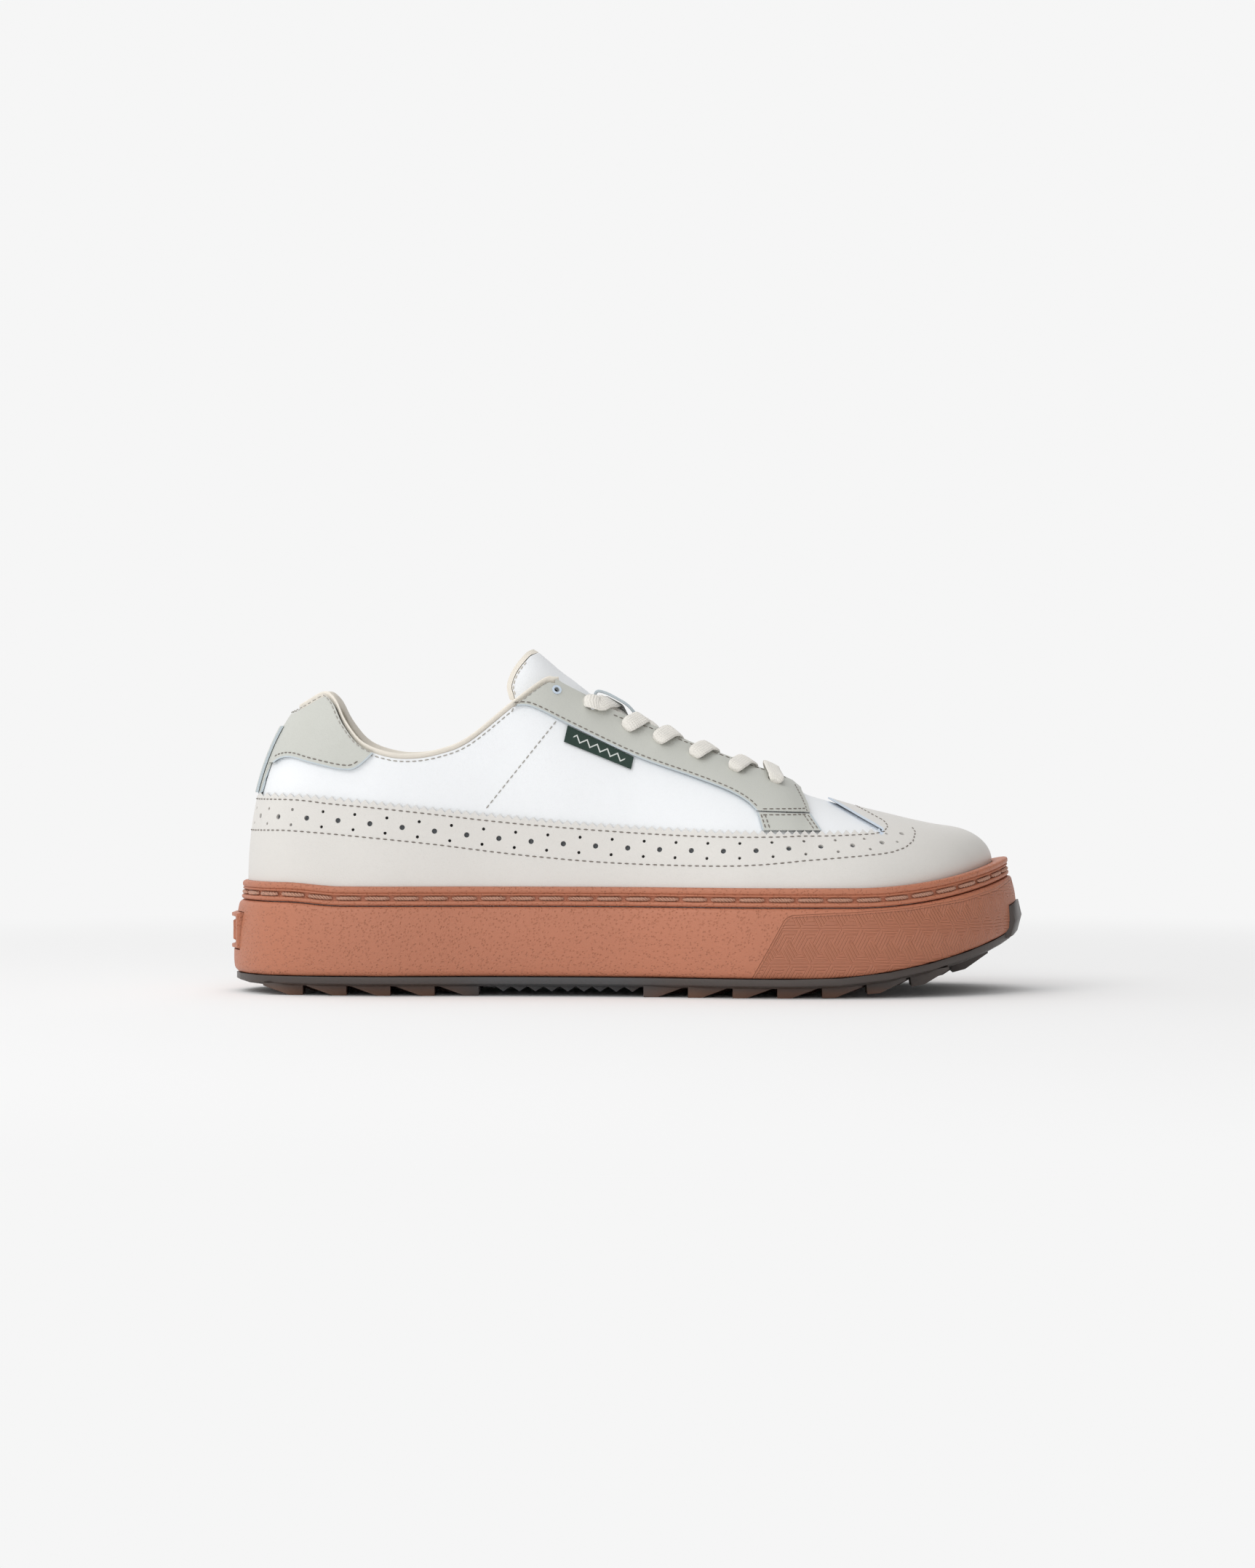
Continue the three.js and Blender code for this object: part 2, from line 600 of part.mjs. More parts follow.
function wing() {
  const block = sideBlock([
    [-160, -40], ...WING_EDGE, [96.2, 21.2], WING_PEAK, [WING_PEAK[0], 60], [160, 60], [160, -40],
  ]);
  const body = layer(GAP, GAP + LEATHER, WING_TUCK).intersect(block);
  return body.subtract(box(-LENGTH, -LENGTH / 4, -1.5, 1.5, 0, 300));
}

function eyestay() {
  const collar = lowered(TOPLINE, BINDING_WIDTH + GAP).filter(([x]) => x > -43.5 && x < -28).reverse();
  const block = sideBlock([
    ...EYESTAY_EDGE, ...EYESTAY_FRONT, [66.8, 130], [-27, 130], [-27.5, 79], ...collar,
  ]);
  return layer(GAP, GAP + LEATHER).intersect(block).intersect(quarterBlock).subtract(throat).subtract(holes);
}

function eyestayLegs() {
  const body = layer(GAP, GAP + LEATHER).intersect(sideBlock(LEG));
  return [-1, 1].map((side) => body.intersect(halfBlock(side)));
}

function heelTab() {
  const tabTop = lowered(TOPLINE, BINDING_WIDTH + GAP).filter(([x]) => x > -152 && x < -96).reverse();
  const block = sideBlock([...TAB_EDGE, ...tabTop, [-152, 60]]);
  const tail = sideBlock([[-152, 34], [-152, 46.6], [-134, 46.6], [-134, 34]])
    .subtract(box(-LENGTH, LENGTH, -BACKSTAY_HALF_WIDTH, BACKSTAY_HALF_WIDTH, 0, 300));
  return layer(GAP, GAP + LEATHER).intersect(block).intersect(quarterBlock).subtract(tail);
}

function backstay() {
  const half = BACKSTAY_HALF_WIDTH - 1;
  const block = sideBlock([[-160, 35], [-160, 60.5], [-120, 60.5], [-120, 35]], -half, half);
  return layer(2 * GAP + LEATHER, 2 * GAP + LEATHER + 0.9).intersect(block);
}

function toplineBinding() {
  const inner = (x) => -liningDepth(x) - LINING;
  const line = TOPLINE.filter(([x]) => x > -152 && x < -28.2);
  const low = lowered(TOPLINE, BINDING_WIDTH).filter(([x]) => x > -152 && x < -28.2);
  return layer(inner, 0.7).intersect(sideBlock([...line, ...low.reverse()]));
}

// Tongue, keeper and label

const UNDER_DEPTH = -(LINING_DEPTH + LINING + LACE_PLAY + LACE_THICKNESS / 2 + 0.25);
const OVER_DEPTH = GAP + LEATHER + LACE_PLAY + LACE_THICKNESS / 2 + 0.1;
const LACE_UNDER = UNDER_DEPTH + 0.9;
const LACE_OVER = LACE_UNDER + LACE_THICKNESS + LACE_PLAY;

const tongueBlock = (insetBy) => {
  const rear = lowered(TONGUE_REAR, -insetBy);
  const side = TONGUE_SIDE.slice(1).map(([x, y]) => [x, y + insetBy]);
  return sideBlock([...rear, ...side, [70.5 - insetBy, 130], [-20, 130]]);
};

function tonguePieces() {
  const face = TONGUE_DEPTH + LEATHER;
  const foam = face + GAP + TONGUE_FOAM;
  const cover = tongueBlock(BINDING_WIDTH + GAP);
  const binding = tongueBlock(0).subtract(tongueBlock(BINDING_WIDTH))
    .intersect(sideBlock([[-60, 66], [-60, 110], [-27, 110], [-36, 66]]));
  return {
    tongue: layer(-face, -TONGUE_DEPTH).intersect(cover),
    tongue_foam: layer(-foam, -face - GAP).intersect(tongueBlock(BINDING_WIDTH + 3)),
    tongue_lining: layer(-foam - GAP - LINING, -foam - GAP).intersect(cover),
    tongue_binding: layer(-foam - GAP - LINING, -TONGUE_DEPTH).intersect(binding),
  };
}

// The strap that holds the lace: its two ends are sewn to the tongue above and below the lace.
function keeper() {
  const x = KEEPER.map((point) => point[0]);
  const up = Math.hypot(1, ridgeSlope(x[2] * stretch));
  const tongueTop = (along) => ridgeLine(along * stretch) - TONGUE_DEPTH * up;
  const crown = (along) => ridgeLine(along * stretch) + (LACE_OVER + LACE_THICKNESS / 2 + KEEPER_PLAY) * up;
  const inside = KEEPER.map(([along, share]) => new THREE.Vector2(
    along * stretch, tongueTop(along) + 2 * GAP + (crown(along) - tongueTop(along) - 2 * GAP) * share));
  const outside = lowered(inside.map((p) => [p.x, p.y]), -STRAP).map(([a, b]) => new THREE.Vector2(a, b));
  const geometry = new THREE.ExtrudeGeometry(new THREE.Shape([...inside, ...outside.reverse()]), {
    depth: 2 * KEEPER_HALF_WIDTH, bevelEnabled: false,
  });
  const middle = spineY(x[2] * stretch);
  return manifold(geometry.rotateX(Math.PI / 2).translate(0, middle + KEEPER_HALF_WIDTH, 0));
}

// Lace

// A point on the flat facets of a layer.
function onFacets(u, t, depth) {
  const station = u * RING;
  const i = Math.floor(station);
  const a = station - i;
  const at = (row) => skin(i / RING, row, depth).lerp(skin((i + 1) / RING, row, depth), a);
  const top = ROWS[ROWS.length - 1];
  if (t >= top) {
    const other = (row) => skin(1 - i / RING, row, depth).lerp(skin(1 - (i + 1) / RING, row, depth), a);
    return at(top).lerp(other(top), 0.5 * (t - top) / (1 - top));
  }
  const levels = [-1, ...ROWS];
  const j = levels.findIndex((level) => level > t) - 1;
  const b = (t - levels[j]) / (levels[j + 1] - levels[j]);
  return at(levels[j]).lerp(at(levels[j + 1]), b);
}

// The place over (x, y) of the throat, as u and t.
function overThroat(x, y) {
  const side = y < spineY(x) ? -1 : 1;
  let low = 0;
  let high = 0.5;
  for (let k = 0; k < 30; k += 1) {
    const middle = (low + high) / 2;
    if (edge(middle).x < x) low = middle;
    else high = middle;
  }
  const u = side < 0 ? low : 1 - low;
  const base = edge(u, -inset(x)).y;
  const reach = clamp01((y - spineY(x)) / (base - spineY(x)));
  const t = Math.acos(reach ** (through(FULLNESS, x / stretch) / 2)) * 2 / Math.PI;
  return { u, t };
}

const throatHalf = (x) => through(THROAT, x / stretch) * spread;

// One stop of the lace: a point on the surface, or in an eyelet, and how wide the lace is there.
const stop = (u, t, depth, width) => ({ point: onFacets(u, t, depth), up: skinUp(u, t), width });
function skinUp(u, t) {
  return onFacets(u, Math.min(t, 0.9), 1).sub(onFacets(u, Math.min(t, 0.9), -1)).normalize();
}
function overStop(x, y, depth, width) {
  const { u, t } = overThroat(x, y);
  return stop(u, t, depth, width);
}

// Into an eyelet from outside and back below it.
function throughEyelet(side, index) {
  const { u, t } = eyelets[side < 0 ? 0 : 1][index];
  const centre = onFacets(u, t, 0);
  const up = skinUp(u, t);
  const away = onFacets(u, t - 0.02, 0).sub(onFacets(u, t + 0.02, 0)).normalize();
  const at = (out, depth, width) => ({
    point: centre.clone().addScaledVector(away, out).addScaledVector(up, depth), up, width,
  });
  return [
    at(-2.2, OVER_DEPTH + 0.5, 4), at(-0.6, OVER_DEPTH - 0.2, LACE_ROUND), at(0.1, 0.3, LACE_ROUND),
    at(0, -2.3, LACE_ROUND), at(-0.8, UNDER_DEPTH - 0.2, LACE_ROUND),
  ];
}

// From the eyelet of one row across the throat to the eyelet of the row above, on the other side.
function crossing(side, index, depth) {
  const from = eyelets[side < 0 ? 0 : 1][index].point.x;
  const to = eyelets[side < 0 ? 1 : 0][index - 1].point.x;
  const x = (share) => from + (to - from) * share;
  const y = (share, half) => {
    const along = x(share);
    const sign = share < 0.5 ? side : -side;
    return spineY(along) + sign * (throatHalf(along) + half);
  };
  const middle = (share, part) => spineY(x(share)) + side * throatHalf(x(share)) * part;
  return [
    overStop(x(0.1), y(0.1, 0.6), UNDER_DEPTH - 0.1, 3.4),
    overStop(x(0.18), y(0.18, -2.5), UNDER_DEPTH, LACE_WIDTH * 0.8),
    overStop(x(0.28), middle(0.28, 0.56), UNDER_DEPTH * 0.8 + depth * 0.2, LACE_WIDTH),
    overStop(x(0.38), middle(0.38, 0.28), UNDER_DEPTH * 0.4 + depth * 0.6, LACE_WIDTH),
    overStop(x(0.5), middle(0.5, 0), depth, LACE_WIDTH),
    overStop(x(0.58), middle(0.58, -0.24), depth + 0.3, LACE_WIDTH),
    overStop(x(0.66), middle(0.66, -0.48), depth + 1.3, LACE_WIDTH),
    overStop(x(0.73), y(0.73, -3.2), 1.3, LACE_WIDTH),
    overStop(x(0.8), y(0.8, -1), OVER_DEPTH + 0.1, LACE_WIDTH * 0.95),
    overStop(x(0.88), y(0.88, 1.4), OVER_DEPTH + 0.35, LACE_WIDTH * 0.8),
  ];
}

// Half of the lace, from the middle of the straight bar up to the second row and down inside the shoe.
function laceHalf(side) {
  const last = EYELETS.length - 1;
  const bar = eyelets[side < 0 ? 0 : 1][last].point.x;
  const stops = [
    overStop(bar, spineY(bar) + side * 2.5, OVER_DEPTH, LACE_WIDTH),
    overStop(bar, spineY(bar) + side * throatHalf(bar) * 0.75, OVER_DEPTH, LACE_WIDTH),
  ];
  let now = side;
  for (let index = last; index > 1; index -= 1) {
    stops.push(...throughEyelet(now, index), ...crossing(now, index, side < 0 ? LACE_UNDER : LACE_OVER));
    now = -now;
  }
  const end = eyelets[now < 0 ? 0 : 1][1];
  const tail = throughEyelet(now, 1).slice(0, 4);
  const ring = (h) => (now < 0 ? h / 2 : 1 - h / 2);
  const h = now < 0 ? end.u * 2 : (1 - end.u) * 2;
  const drop = TAIL.map(([ahead, t]) => stop(ring(h + ahead), t, UNDER_DEPTH, LACE_ROUND));
  return [...stops, ...tail, ...drop];
}

// A flat strip through the stops, lens-shaped in section.
function strip(stops) {
  const across = new THREE.Vector3(1, 0, 0);
  const rings = stops.map(({ point, up, width }, i) => {
    const ahead = stops[Math.min(stops.length - 1, i + 1)].point;
    const tangent = ahead.clone().sub(stops[Math.max(0, i - 1)].point).normalize();
    const flat = up.clone().cross(tangent);
    if (flat.length() > 0.5) across.copy(flat.normalize().multiplyScalar(Math.sign(flat.dot(across)) || 1));
    across.addScaledVector(tangent, -across.dot(tangent)).normalize();
    const over = tangent.clone().cross(across).normalize();
    const thick = LACE_THICKNESS * (1 + 0.35 * clamp01((LACE_WIDTH - width) / (LACE_WIDTH - LACE_ROUND)));
    return [[-0.5, 0], [-0.34, 0.5], [0.34, 0.5], [0.5, 0], [0.34, -0.5], [-0.34, -0.5]]
      .map(([a, b]) => point.clone().addScaledVector(across, a * width).addScaledVector(over, b * thick));
  });
  const sides = rings[0].length;
  const faces = bands(rings, rings.length - 1);
  for (let k = 1; k < sides - 1; k += 1) {
    const end = (rings.length - 1) * sides;
    faces.push([0, k + 1, k], [end, end + k, end + k + 1]);
  }
  return solid(rings.flat(), faces);
}

function lace() {
  return strip([...laceHalf(-1).reverse(), ...laceHalf(1)]);
}

function label() {
  const body = layer(GAP, GAP + LABEL_THICKNESS);
  return body.intersect(sideBlock(LABEL, -100, 0));
}

// Assembly

const leatherLook = (color) => ({ color, roughness: 0.55, metalness: 0 });
const WHITE = leatherLook(0xf0f3f5);
const GREY = leatherLook(0xdddad5);
const SAGE = leatherLook(0xc4c5be);
const CREAM = { color: 0xebe4da, roughness: 0.8, metalness: 0 };
const TAN = { color: 0xb5745a, roughness: 0.6, metalness: 0 };
const DARK = { color: 0x2c2826, roughness: 0.5, metalness: 0 };
const FOAM = { color: 0xe8e0c8, roughness: 0.95, metalness: 0 };

const GREEN = { color: 0x18382c, roughness: 0.8, metalness: 0 };

const shoe = new THREE.Group();
function piece(name, body, look) {
  const mesh = new THREE.Mesh(fromManifold(body), new THREE.MeshStandardMaterial(look));
  mesh.name = name;
  shoe.add(mesh);
}

const [quarterLateral, quarterMedial] = quarters();
const lining = linings();
const [legLateral, legMedial] = eyestayLegs();
piece('outsole', outsole(), DARK);
piece('cupsole', cupsole(), TAN);
piece('heel_badge', heelBlock(BADGE_PROUD, 0), TAN);
piece('midsole_core', midsoleCore(), FOAM);
piece('welt', welt(), TAN);
piece('welt_thread', weltThread(), CREAM);
piece('strobel_board', strobelBoard(), FOAM);
piece('sockliner', sockliner(), CREAM);
piece('vamp', vamp(), WHITE);
piece('quarter_lateral', quarterLateral, WHITE);
piece('quarter_medial', quarterMedial, WHITE);
piece('vamp_lining', lining.front, CREAM);
piece('heel_lining', lining.heel, CREAM);
piece('quarter_lining_lateral', lining.sides[0], CREAM);
piece('quarter_lining_medial', lining.sides[1], CREAM);
piece('collar_foam', collarFoam(), FOAM);
piece('heel_counter', heelCounter(), FOAM);
piece('toe_puff', toePuff(), FOAM);
piece('wing_overlay', wing(), GREY);
piece('eyestay', eyestay(), SAGE);
piece('eyestay_leg_lateral', legLateral, SAGE);
piece('eyestay_leg_medial', legMedial, SAGE);
piece('heel_tab', heelTab(), SAGE);
piece('backstay_strip', backstay(), SAGE);
piece('topline_binding', toplineBinding(), CREAM);
for (const [name, body] of Object.entries(tonguePieces())) {
  piece(name, body, name === 'tongue' ? WHITE : CREAM);
}
piece('lace_keeper', keeper(), SAGE);
piece('lace', lace(), CREAM);
piece('side_label', label(), GREEN);

// The origin is on the ground, under the middle of the shoe's box.
const bounds = new THREE.Box3().setFromObject(shoe);
const middle = bounds.getCenter(new THREE.Vector3());
shoe.position.set(-middle.x, -middle.y, -bounds.min.z);

export default shoe;
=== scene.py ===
"""A low golf shoe for the right foot: leather upper, stitched rubber cupsole, lugged outsole."""
import json
import math

import bmesh
import bpy
import numpy as np
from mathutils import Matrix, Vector

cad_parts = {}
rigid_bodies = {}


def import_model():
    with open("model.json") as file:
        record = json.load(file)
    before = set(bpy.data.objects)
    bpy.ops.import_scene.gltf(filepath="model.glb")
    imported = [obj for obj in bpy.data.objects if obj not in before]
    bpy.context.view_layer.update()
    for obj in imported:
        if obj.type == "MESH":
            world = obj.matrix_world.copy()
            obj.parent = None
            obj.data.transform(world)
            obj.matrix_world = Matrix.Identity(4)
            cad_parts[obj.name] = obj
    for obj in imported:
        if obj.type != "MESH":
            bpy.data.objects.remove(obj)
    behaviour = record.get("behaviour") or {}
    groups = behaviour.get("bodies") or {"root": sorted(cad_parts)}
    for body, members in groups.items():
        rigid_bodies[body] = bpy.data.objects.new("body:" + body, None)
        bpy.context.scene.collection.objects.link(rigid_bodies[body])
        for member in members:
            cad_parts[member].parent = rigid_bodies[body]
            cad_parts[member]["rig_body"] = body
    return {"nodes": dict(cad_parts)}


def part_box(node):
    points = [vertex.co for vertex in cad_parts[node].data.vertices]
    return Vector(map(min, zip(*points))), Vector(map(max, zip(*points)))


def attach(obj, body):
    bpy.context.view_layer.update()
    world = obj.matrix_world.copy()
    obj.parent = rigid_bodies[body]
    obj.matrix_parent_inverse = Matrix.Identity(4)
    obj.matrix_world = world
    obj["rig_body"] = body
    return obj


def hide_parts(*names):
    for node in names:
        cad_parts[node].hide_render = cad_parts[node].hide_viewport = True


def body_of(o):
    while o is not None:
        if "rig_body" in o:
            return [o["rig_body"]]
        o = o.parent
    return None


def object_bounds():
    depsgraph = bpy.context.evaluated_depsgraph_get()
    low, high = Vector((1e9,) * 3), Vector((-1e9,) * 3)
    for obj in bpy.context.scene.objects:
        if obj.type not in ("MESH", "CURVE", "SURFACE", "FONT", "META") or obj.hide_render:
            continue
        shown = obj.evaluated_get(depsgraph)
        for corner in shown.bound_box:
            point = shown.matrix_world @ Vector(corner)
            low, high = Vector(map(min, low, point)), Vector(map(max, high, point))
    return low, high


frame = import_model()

CAD_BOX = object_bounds()

# Sizes, in millimetres, along x from heel to toe and up from the ground
SOLE_HEIGHT = 41.3
LUG_HEIGHT = 3.65
OUTSOLE_THICKNESS = 3.8
CUP_FLOOR = 3
WELT_HEIGHT = 7.3
GROOVE_DROP = 4.5
HEEL_INSET = 7
TOE_INSET = 11
UPPER_TUCK = 16.5
WING_TUCK = 6.9
LEATHER = 1.2
LINING = 0.7
FOAM_DEPTH = 2.3
PUFF_THICKNESS = 1
TONGUE_FOAM = 3.2
BINDING_WIDTH = 1.8
GAP = 0.3
PADDING_DROP = 1.6      # collar foam below the foot of the binding
FAR, TALL = 305, 200    # cutting blocks reach past the shoe
BACKSTAY_HALF_WIDTH = 6.5
BADGE_HALF_WIDTH = 14
BADGE_BOTTOM = 16.5
BADGE_TOP = 30.5
BADGE_DEPTH = 2.4       # let into the wall of the cup
BUMPER_HALF_WIDTH = 18
BUMPER_DEPTH = 2.3
BUMPER_TOP = 10
LACE_WIDTH = 6.8
LACE_THICKNESS = 1.2
LACE_ROUND = 3.0
LABEL_THICKNESS = 0.6
TEETH_PITCH = 3.2     # pinked edge of the wing
TEETH_HEIGHT = 1.6
PUNCH_PITCH = 12.2    # large holes of the wing; the small pairs stand between them
PAIR_HALF_WIDTH = 2.9
WELT_STITCH_PITCH = 11.0
BACKSTAY_THICKNESS = 0.9
KEEPER_HALF_WIDTH = 6
EYELET_RADIUS = 2.6
FREE_EYELET_RADIUS = 1.05

# Camera: a long lens, level with the shoe, on its lateral side
VIEW_WIDTH = 0.4735
VIEW_HEIGHT = VIEW_WIDTH * 1.249855
LENS = 100
ELEVATION = math.radians(1.0)


def look_from_lateral_side():
    camera = bpy.data.objects.new("camera", bpy.data.cameras.new("camera"))
    bpy.context.scene.collection.objects.link(camera)
    camera.data.lens = LENS
    camera.data.clip_start, camera.data.clip_end = 0.05, 20
    distance = VIEW_HEIGHT / 2 * LENS / (camera.data.sensor_width / 2)
    low, high = CAD_BOX
    target = Vector(((low.x + high.x) / 2, low.y * 0.6, 0.0800))
    back = Vector((0, -math.cos(ELEVATION), math.sin(ELEVATION)))
    camera.location = target + back * distance
    camera.rotation_euler = (math.pi / 2 - ELEVATION, 0, 0)
    bpy.context.scene.camera = camera


# The last: plan outline, heights and ridge

PLAN = [[-151.5, 0, 0], [-137, -29.5, 29], [-100, -40, 38], [-50, -39.5, 33.5], [0, -44, 37.5],
        [50, -55.5, 51.5], [98, -53, 52.5], [135, -30, 39.5], [150.3, 7, 7]]
CORNERS = np.array([[x, y] for x, y, _ in PLAN] + [[x, y] for x, _, y in PLAN[-2:0:-1]], float)
RIDGE = [[-95, 83], [-70, 88], [-50, 94.5], [-37, 96], [-22, 85.4], [-5, 72.6], [10, 64.3], [22, 57.5],
         [34, 52], [46, 46.8], [56, 42.5], [62, 39], [68, 34.5], [77, 31.6], [89, 28], [100, 25.2],
         [112, 22], [119, 20.6]]
FULLNESS = [[-60, 2.3], [-40, 2.3], [-16, 1.95], [10, 1.7], [40, 1.6], [80, 1.8], [110, 2.2]]


def ease(v):
    v = np.clip(v, 0, 1)
    return v * v * (3 - 2 * v)


def through(pairs, x):
    """A smooth height through [x, value] pairs, level beyond both ends."""
    p = np.array(pairs, float)
    x = np.clip(np.asarray(x, float), p[0, 0], p[-1, 0])
    last = len(p) - 1
    before, after = np.maximum(np.arange(last + 1) - 1, 0), np.minimum(np.arange(last + 1) + 1, last)
    slope = (p[after, 1] - p[before, 1]) / (p[after, 0] - p[before, 0])
    i = np.clip(np.searchsorted(p[:, 0], x, side="right") - 1, 0, last - 1)
    width = p[i + 1, 0] - p[i, 0]
    s = (x - p[i, 0]) / width
    rise = p[i + 1, 1] - p[i, 1]
    return (p[i, 1] + rise * s * s * (3 - 2 * s)
            + width * s * (1 - s) * (slope[i] * (1 - s) - slope[i + 1] * s))


def edge(u, offset=0.0):
    """A point of the cupsole's outline: u is 0 at the heel, runs by the lateral side to 0.5 at the toe."""
    u = np.asarray(u, float) % 1
    n = len(CORNERS)
    k = np.minimum((u * n).astype(int), n - 1)
    s = (u * n - k)[..., None]
    a, b, c, d = (CORNERS[(k + j) % n] for j in (-1, 0, 1, 2))
    m0, m1 = (c - a) / 2, (d - b) / 2
    point = b + m0 * s + (3 * (c - b) - 2 * m0 - m1) * s**2 + (2 * (b - c) + m0 + m1) * s**3
    along = m0 + 2 * (3 * (c - b) - 2 * m0 - m1) * s + 3 * (2 * (b - c) + m0 + m1) * s**2
    along = along / np.linalg.norm(along, axis=-1, keepdims=True)
    out = np.stack([along[..., 1], -along[..., 0]], -1)
    return point + out * np.asarray(offset, float)[..., None]


def sole_line(x):
    return LUG_HEIGHT + OUTSOLE_THICKNESS + 0.0024 * np.maximum(0, x - 66) ** 2


def welt_line(x):
    return SOLE_HEIGHT + 0.0027 * np.maximum(0, x - 85) ** 2 + 1.4 * ease((-108 - x) / 22)


def inset(x):
    return HEEL_INSET + (TOE_INSET - HEEL_INSET) * np.clip((x - 60) / 80, 0, 1) ** 2


def spine_x(x):
    toe, heel = np.maximum(0, x - 60) / 90.3, np.maximum(0, -30 - x) / 121.5
    return np.clip(x, -30, 60) + 90.3 * (toe - 0.356 * toe**2) - 121.5 * (heel - 0.47 * heel**2)


def spine_y(x):
    return 0.03 * np.maximum(0, x + 30)


def ridge_line(x):
    return SOLE_HEIGHT + through(RIDGE, x)


def ridge_slope(x):
    return (ridge_line(x + 2) - ridge_line(x - 2)) / 4


def skin(u, t, depth=0.0, tuck=UPPER_TUCK):
    """A point of the upper: t from 0 at the welt to 1 at the ridge, and below 0 inside the cup."""
    u, t, depth = np.broadcast_arrays(*(np.asarray(v, float) for v in (u, t, depth)))
    x = edge(u)[..., 0]
    base = edge(u, depth - inset(x))
    cx = spine_x(x)
    cy = spine_y(cx)
    foot = welt_line(base[..., 0])
    top = ridge_line(cx) + depth * np.hypot(1, ridge_slope(cx))
    angle = np.clip(t, 0, 1) * math.pi / 2
    reach = np.maximum(np.cos(angle), 1e-9) ** (2 / through(FULLNESS, cx))
    z = np.where(t < 0, foot + t * tuck, foot + (top - foot) * np.sin(angle))
    return np.stack([cx + (base[..., 0] - cx) * reach, cy + (base[..., 1] - cy) * reach, z], -1)


def skin_up(u, t):
    t = np.minimum(t, 0.96)
    normal = np.cross(skin(u + 1e-4, t) - skin(u - 1e-4, t), skin(u, t + 1e-3) - skin(u, t - 1e-3))
    away = skin(u, t, 1.0) - skin(u, t, -1.0)
    normal = normal * np.sign(np.sum(normal * away, -1, keepdims=True))
    return normal / np.linalg.norm(normal, axis=-1, keepdims=True)


LINING_DEPTH = LEATHER + GAP
COLLAR_DEPTH = LINING_DEPTH + FOAM_DEPTH + GAP
TOE_DEPTH = LINING_DEPTH + PUFF_THICKNESS + GAP
TONGUE_DEPTH = LINING_DEPTH + LINING + 1.1 + 2 * 0.7 + 0.5


def lining_depth(x):
    return (LINING_DEPTH + (COLLAR_DEPTH - LINING_DEPTH) * ease((-52 - x) / 18)
            + (TOE_DEPTH - LINING_DEPTH) * ease((x - 74) / 14))


# The frame is centred on the shoe's box; the plan outline is not
SHIFT_Y = (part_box("cupsole")[0].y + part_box("cupsole")[1].y) * 500 - float(
    np.sum([f(edge(np.linspace(0, 1, 2000))[:, 1]) for f in (np.min, np.max)])) / 2


def placed(points):
    return (np.asarray(points, float) + [0, SHIFT_Y, 0]) * 0.001


# Side-view lines: [x, rise above the welt]

def lengths(points):
    """Distance along a polyline at each of its points."""
    return np.concatenate([[0], np.cumsum(np.linalg.norm(np.diff(points, axis=0), axis=1))])


def bend(a, b, c, d, s):
    """A place between b and c on the smooth curve through four points."""
    return (b + 0.5 * s * (c - a) + s * s * (a - 2.5 * b + 2 * c - 0.5 * d)
            + s**3 * (-0.5 * a + 1.5 * b - 1.5 * c + 0.5 * d))


def smooth(points, count):
    """Uniform Catmull-Rom curve through side-view points."""
    p = np.array(points, float)
    p = np.vstack([2 * p[0] - p[1], p, 2 * p[-1] - p[-2]])
    out = []
    for v in np.linspace(0, len(points) - 1, count + 1):
        k = min(int(v), len(points) - 2)
        out.append(bend(*p[k:k + 4], v - k))
    return np.array(out)


def lowered(points, distance):
    """A side-view line moved down or back by a distance."""
    p = np.array(points, float)
    d = np.gradient(p, axis=0)
    d /= np.linalg.norm(d, axis=1, keepdims=True)
    return p + distance * np.stack([d[:, 1], -d[:, 0]], 1)


TOPLINE = smooth([[-150, 62], [-136, 65], [-125.4, 69], [-116, 73.8], [-110.7, 70.6], [-106.4, 62.3],
                  [-100, 54.6], [-91, 51], [-82, 50.2], [-72, 51.8], [-61, 56.3], [-44, 70], [-32, 78.5],
                  [-27.5, 79]], 60)
WING_EDGE = smooth([[-152, 33.2], [-126, 33.4], [-94, 30.6], [-58, 26.8], [-15, 22.8], [34, 20.2],
                    [75, 19.7], [96, 20.2]], 60)
EYESTAY_EDGE = smooth([[-44.3, 68], [-38, 68.3], [-31.6, 65.8], [-22.7, 61.3], [2.7, 49.2], [25.4, 41.1],
                       [38, 36.2], [45, 32.2], [48.5, 28.8]], 48)
EYESTAY_FRONT = [[69.2, 28], [68.6, 31.2], [66.8, 36], [66.8, 60]]
LEG = [[48.9, 28.2], [50.6, 21.5], [73.2, 21.3], [69.4, 27.4]]
TAB_EDGE = smooth([[-152, 34.6], [-140.6, 34.8], [-138.4, 41], [-135, 46.8], [-129, 48.7], [-120.5, 46.6],
                   [-108, 44], [-102, 45.2], [-94, 52.5]], 48)
VAMP_LINE = [[57, -40], [60, 10], [61, 60]]
TONGUE_REAR = smooth([[-27, 97], [-32.5, 91.6], [-35.6, 90.2], [-37.8, 89.3], [-39.8, 87.5], [-43.8, 82.2],
                      [-46, 76], [-44.9, 70.6]], 40)
TONGUE_SIDE = [[-44.9, 70.6], [-30, 65], [-15, 58], [0, 51], [20, 43.5], [40, 36], [60, 29.5], [70.5, 26.5]]
LABEL = [[-22.7, 60.8], [-24.1, 54.6], [1.3, 44.2], [2.4, 48.8]]
EYELETS = [[-27.4, 73.7], [-14.5, 68.1], [0.4, 59.6], [12.2, 54.6], [26, 48.7], [40.9, 43.3], [55.5, 38.8]]
THROAT = [[-60, 22], [-27, 19], [-5, 16], [22, 13], [46, 11.2], [56, 9.5], [61, 6.5], [63.5, 2]]
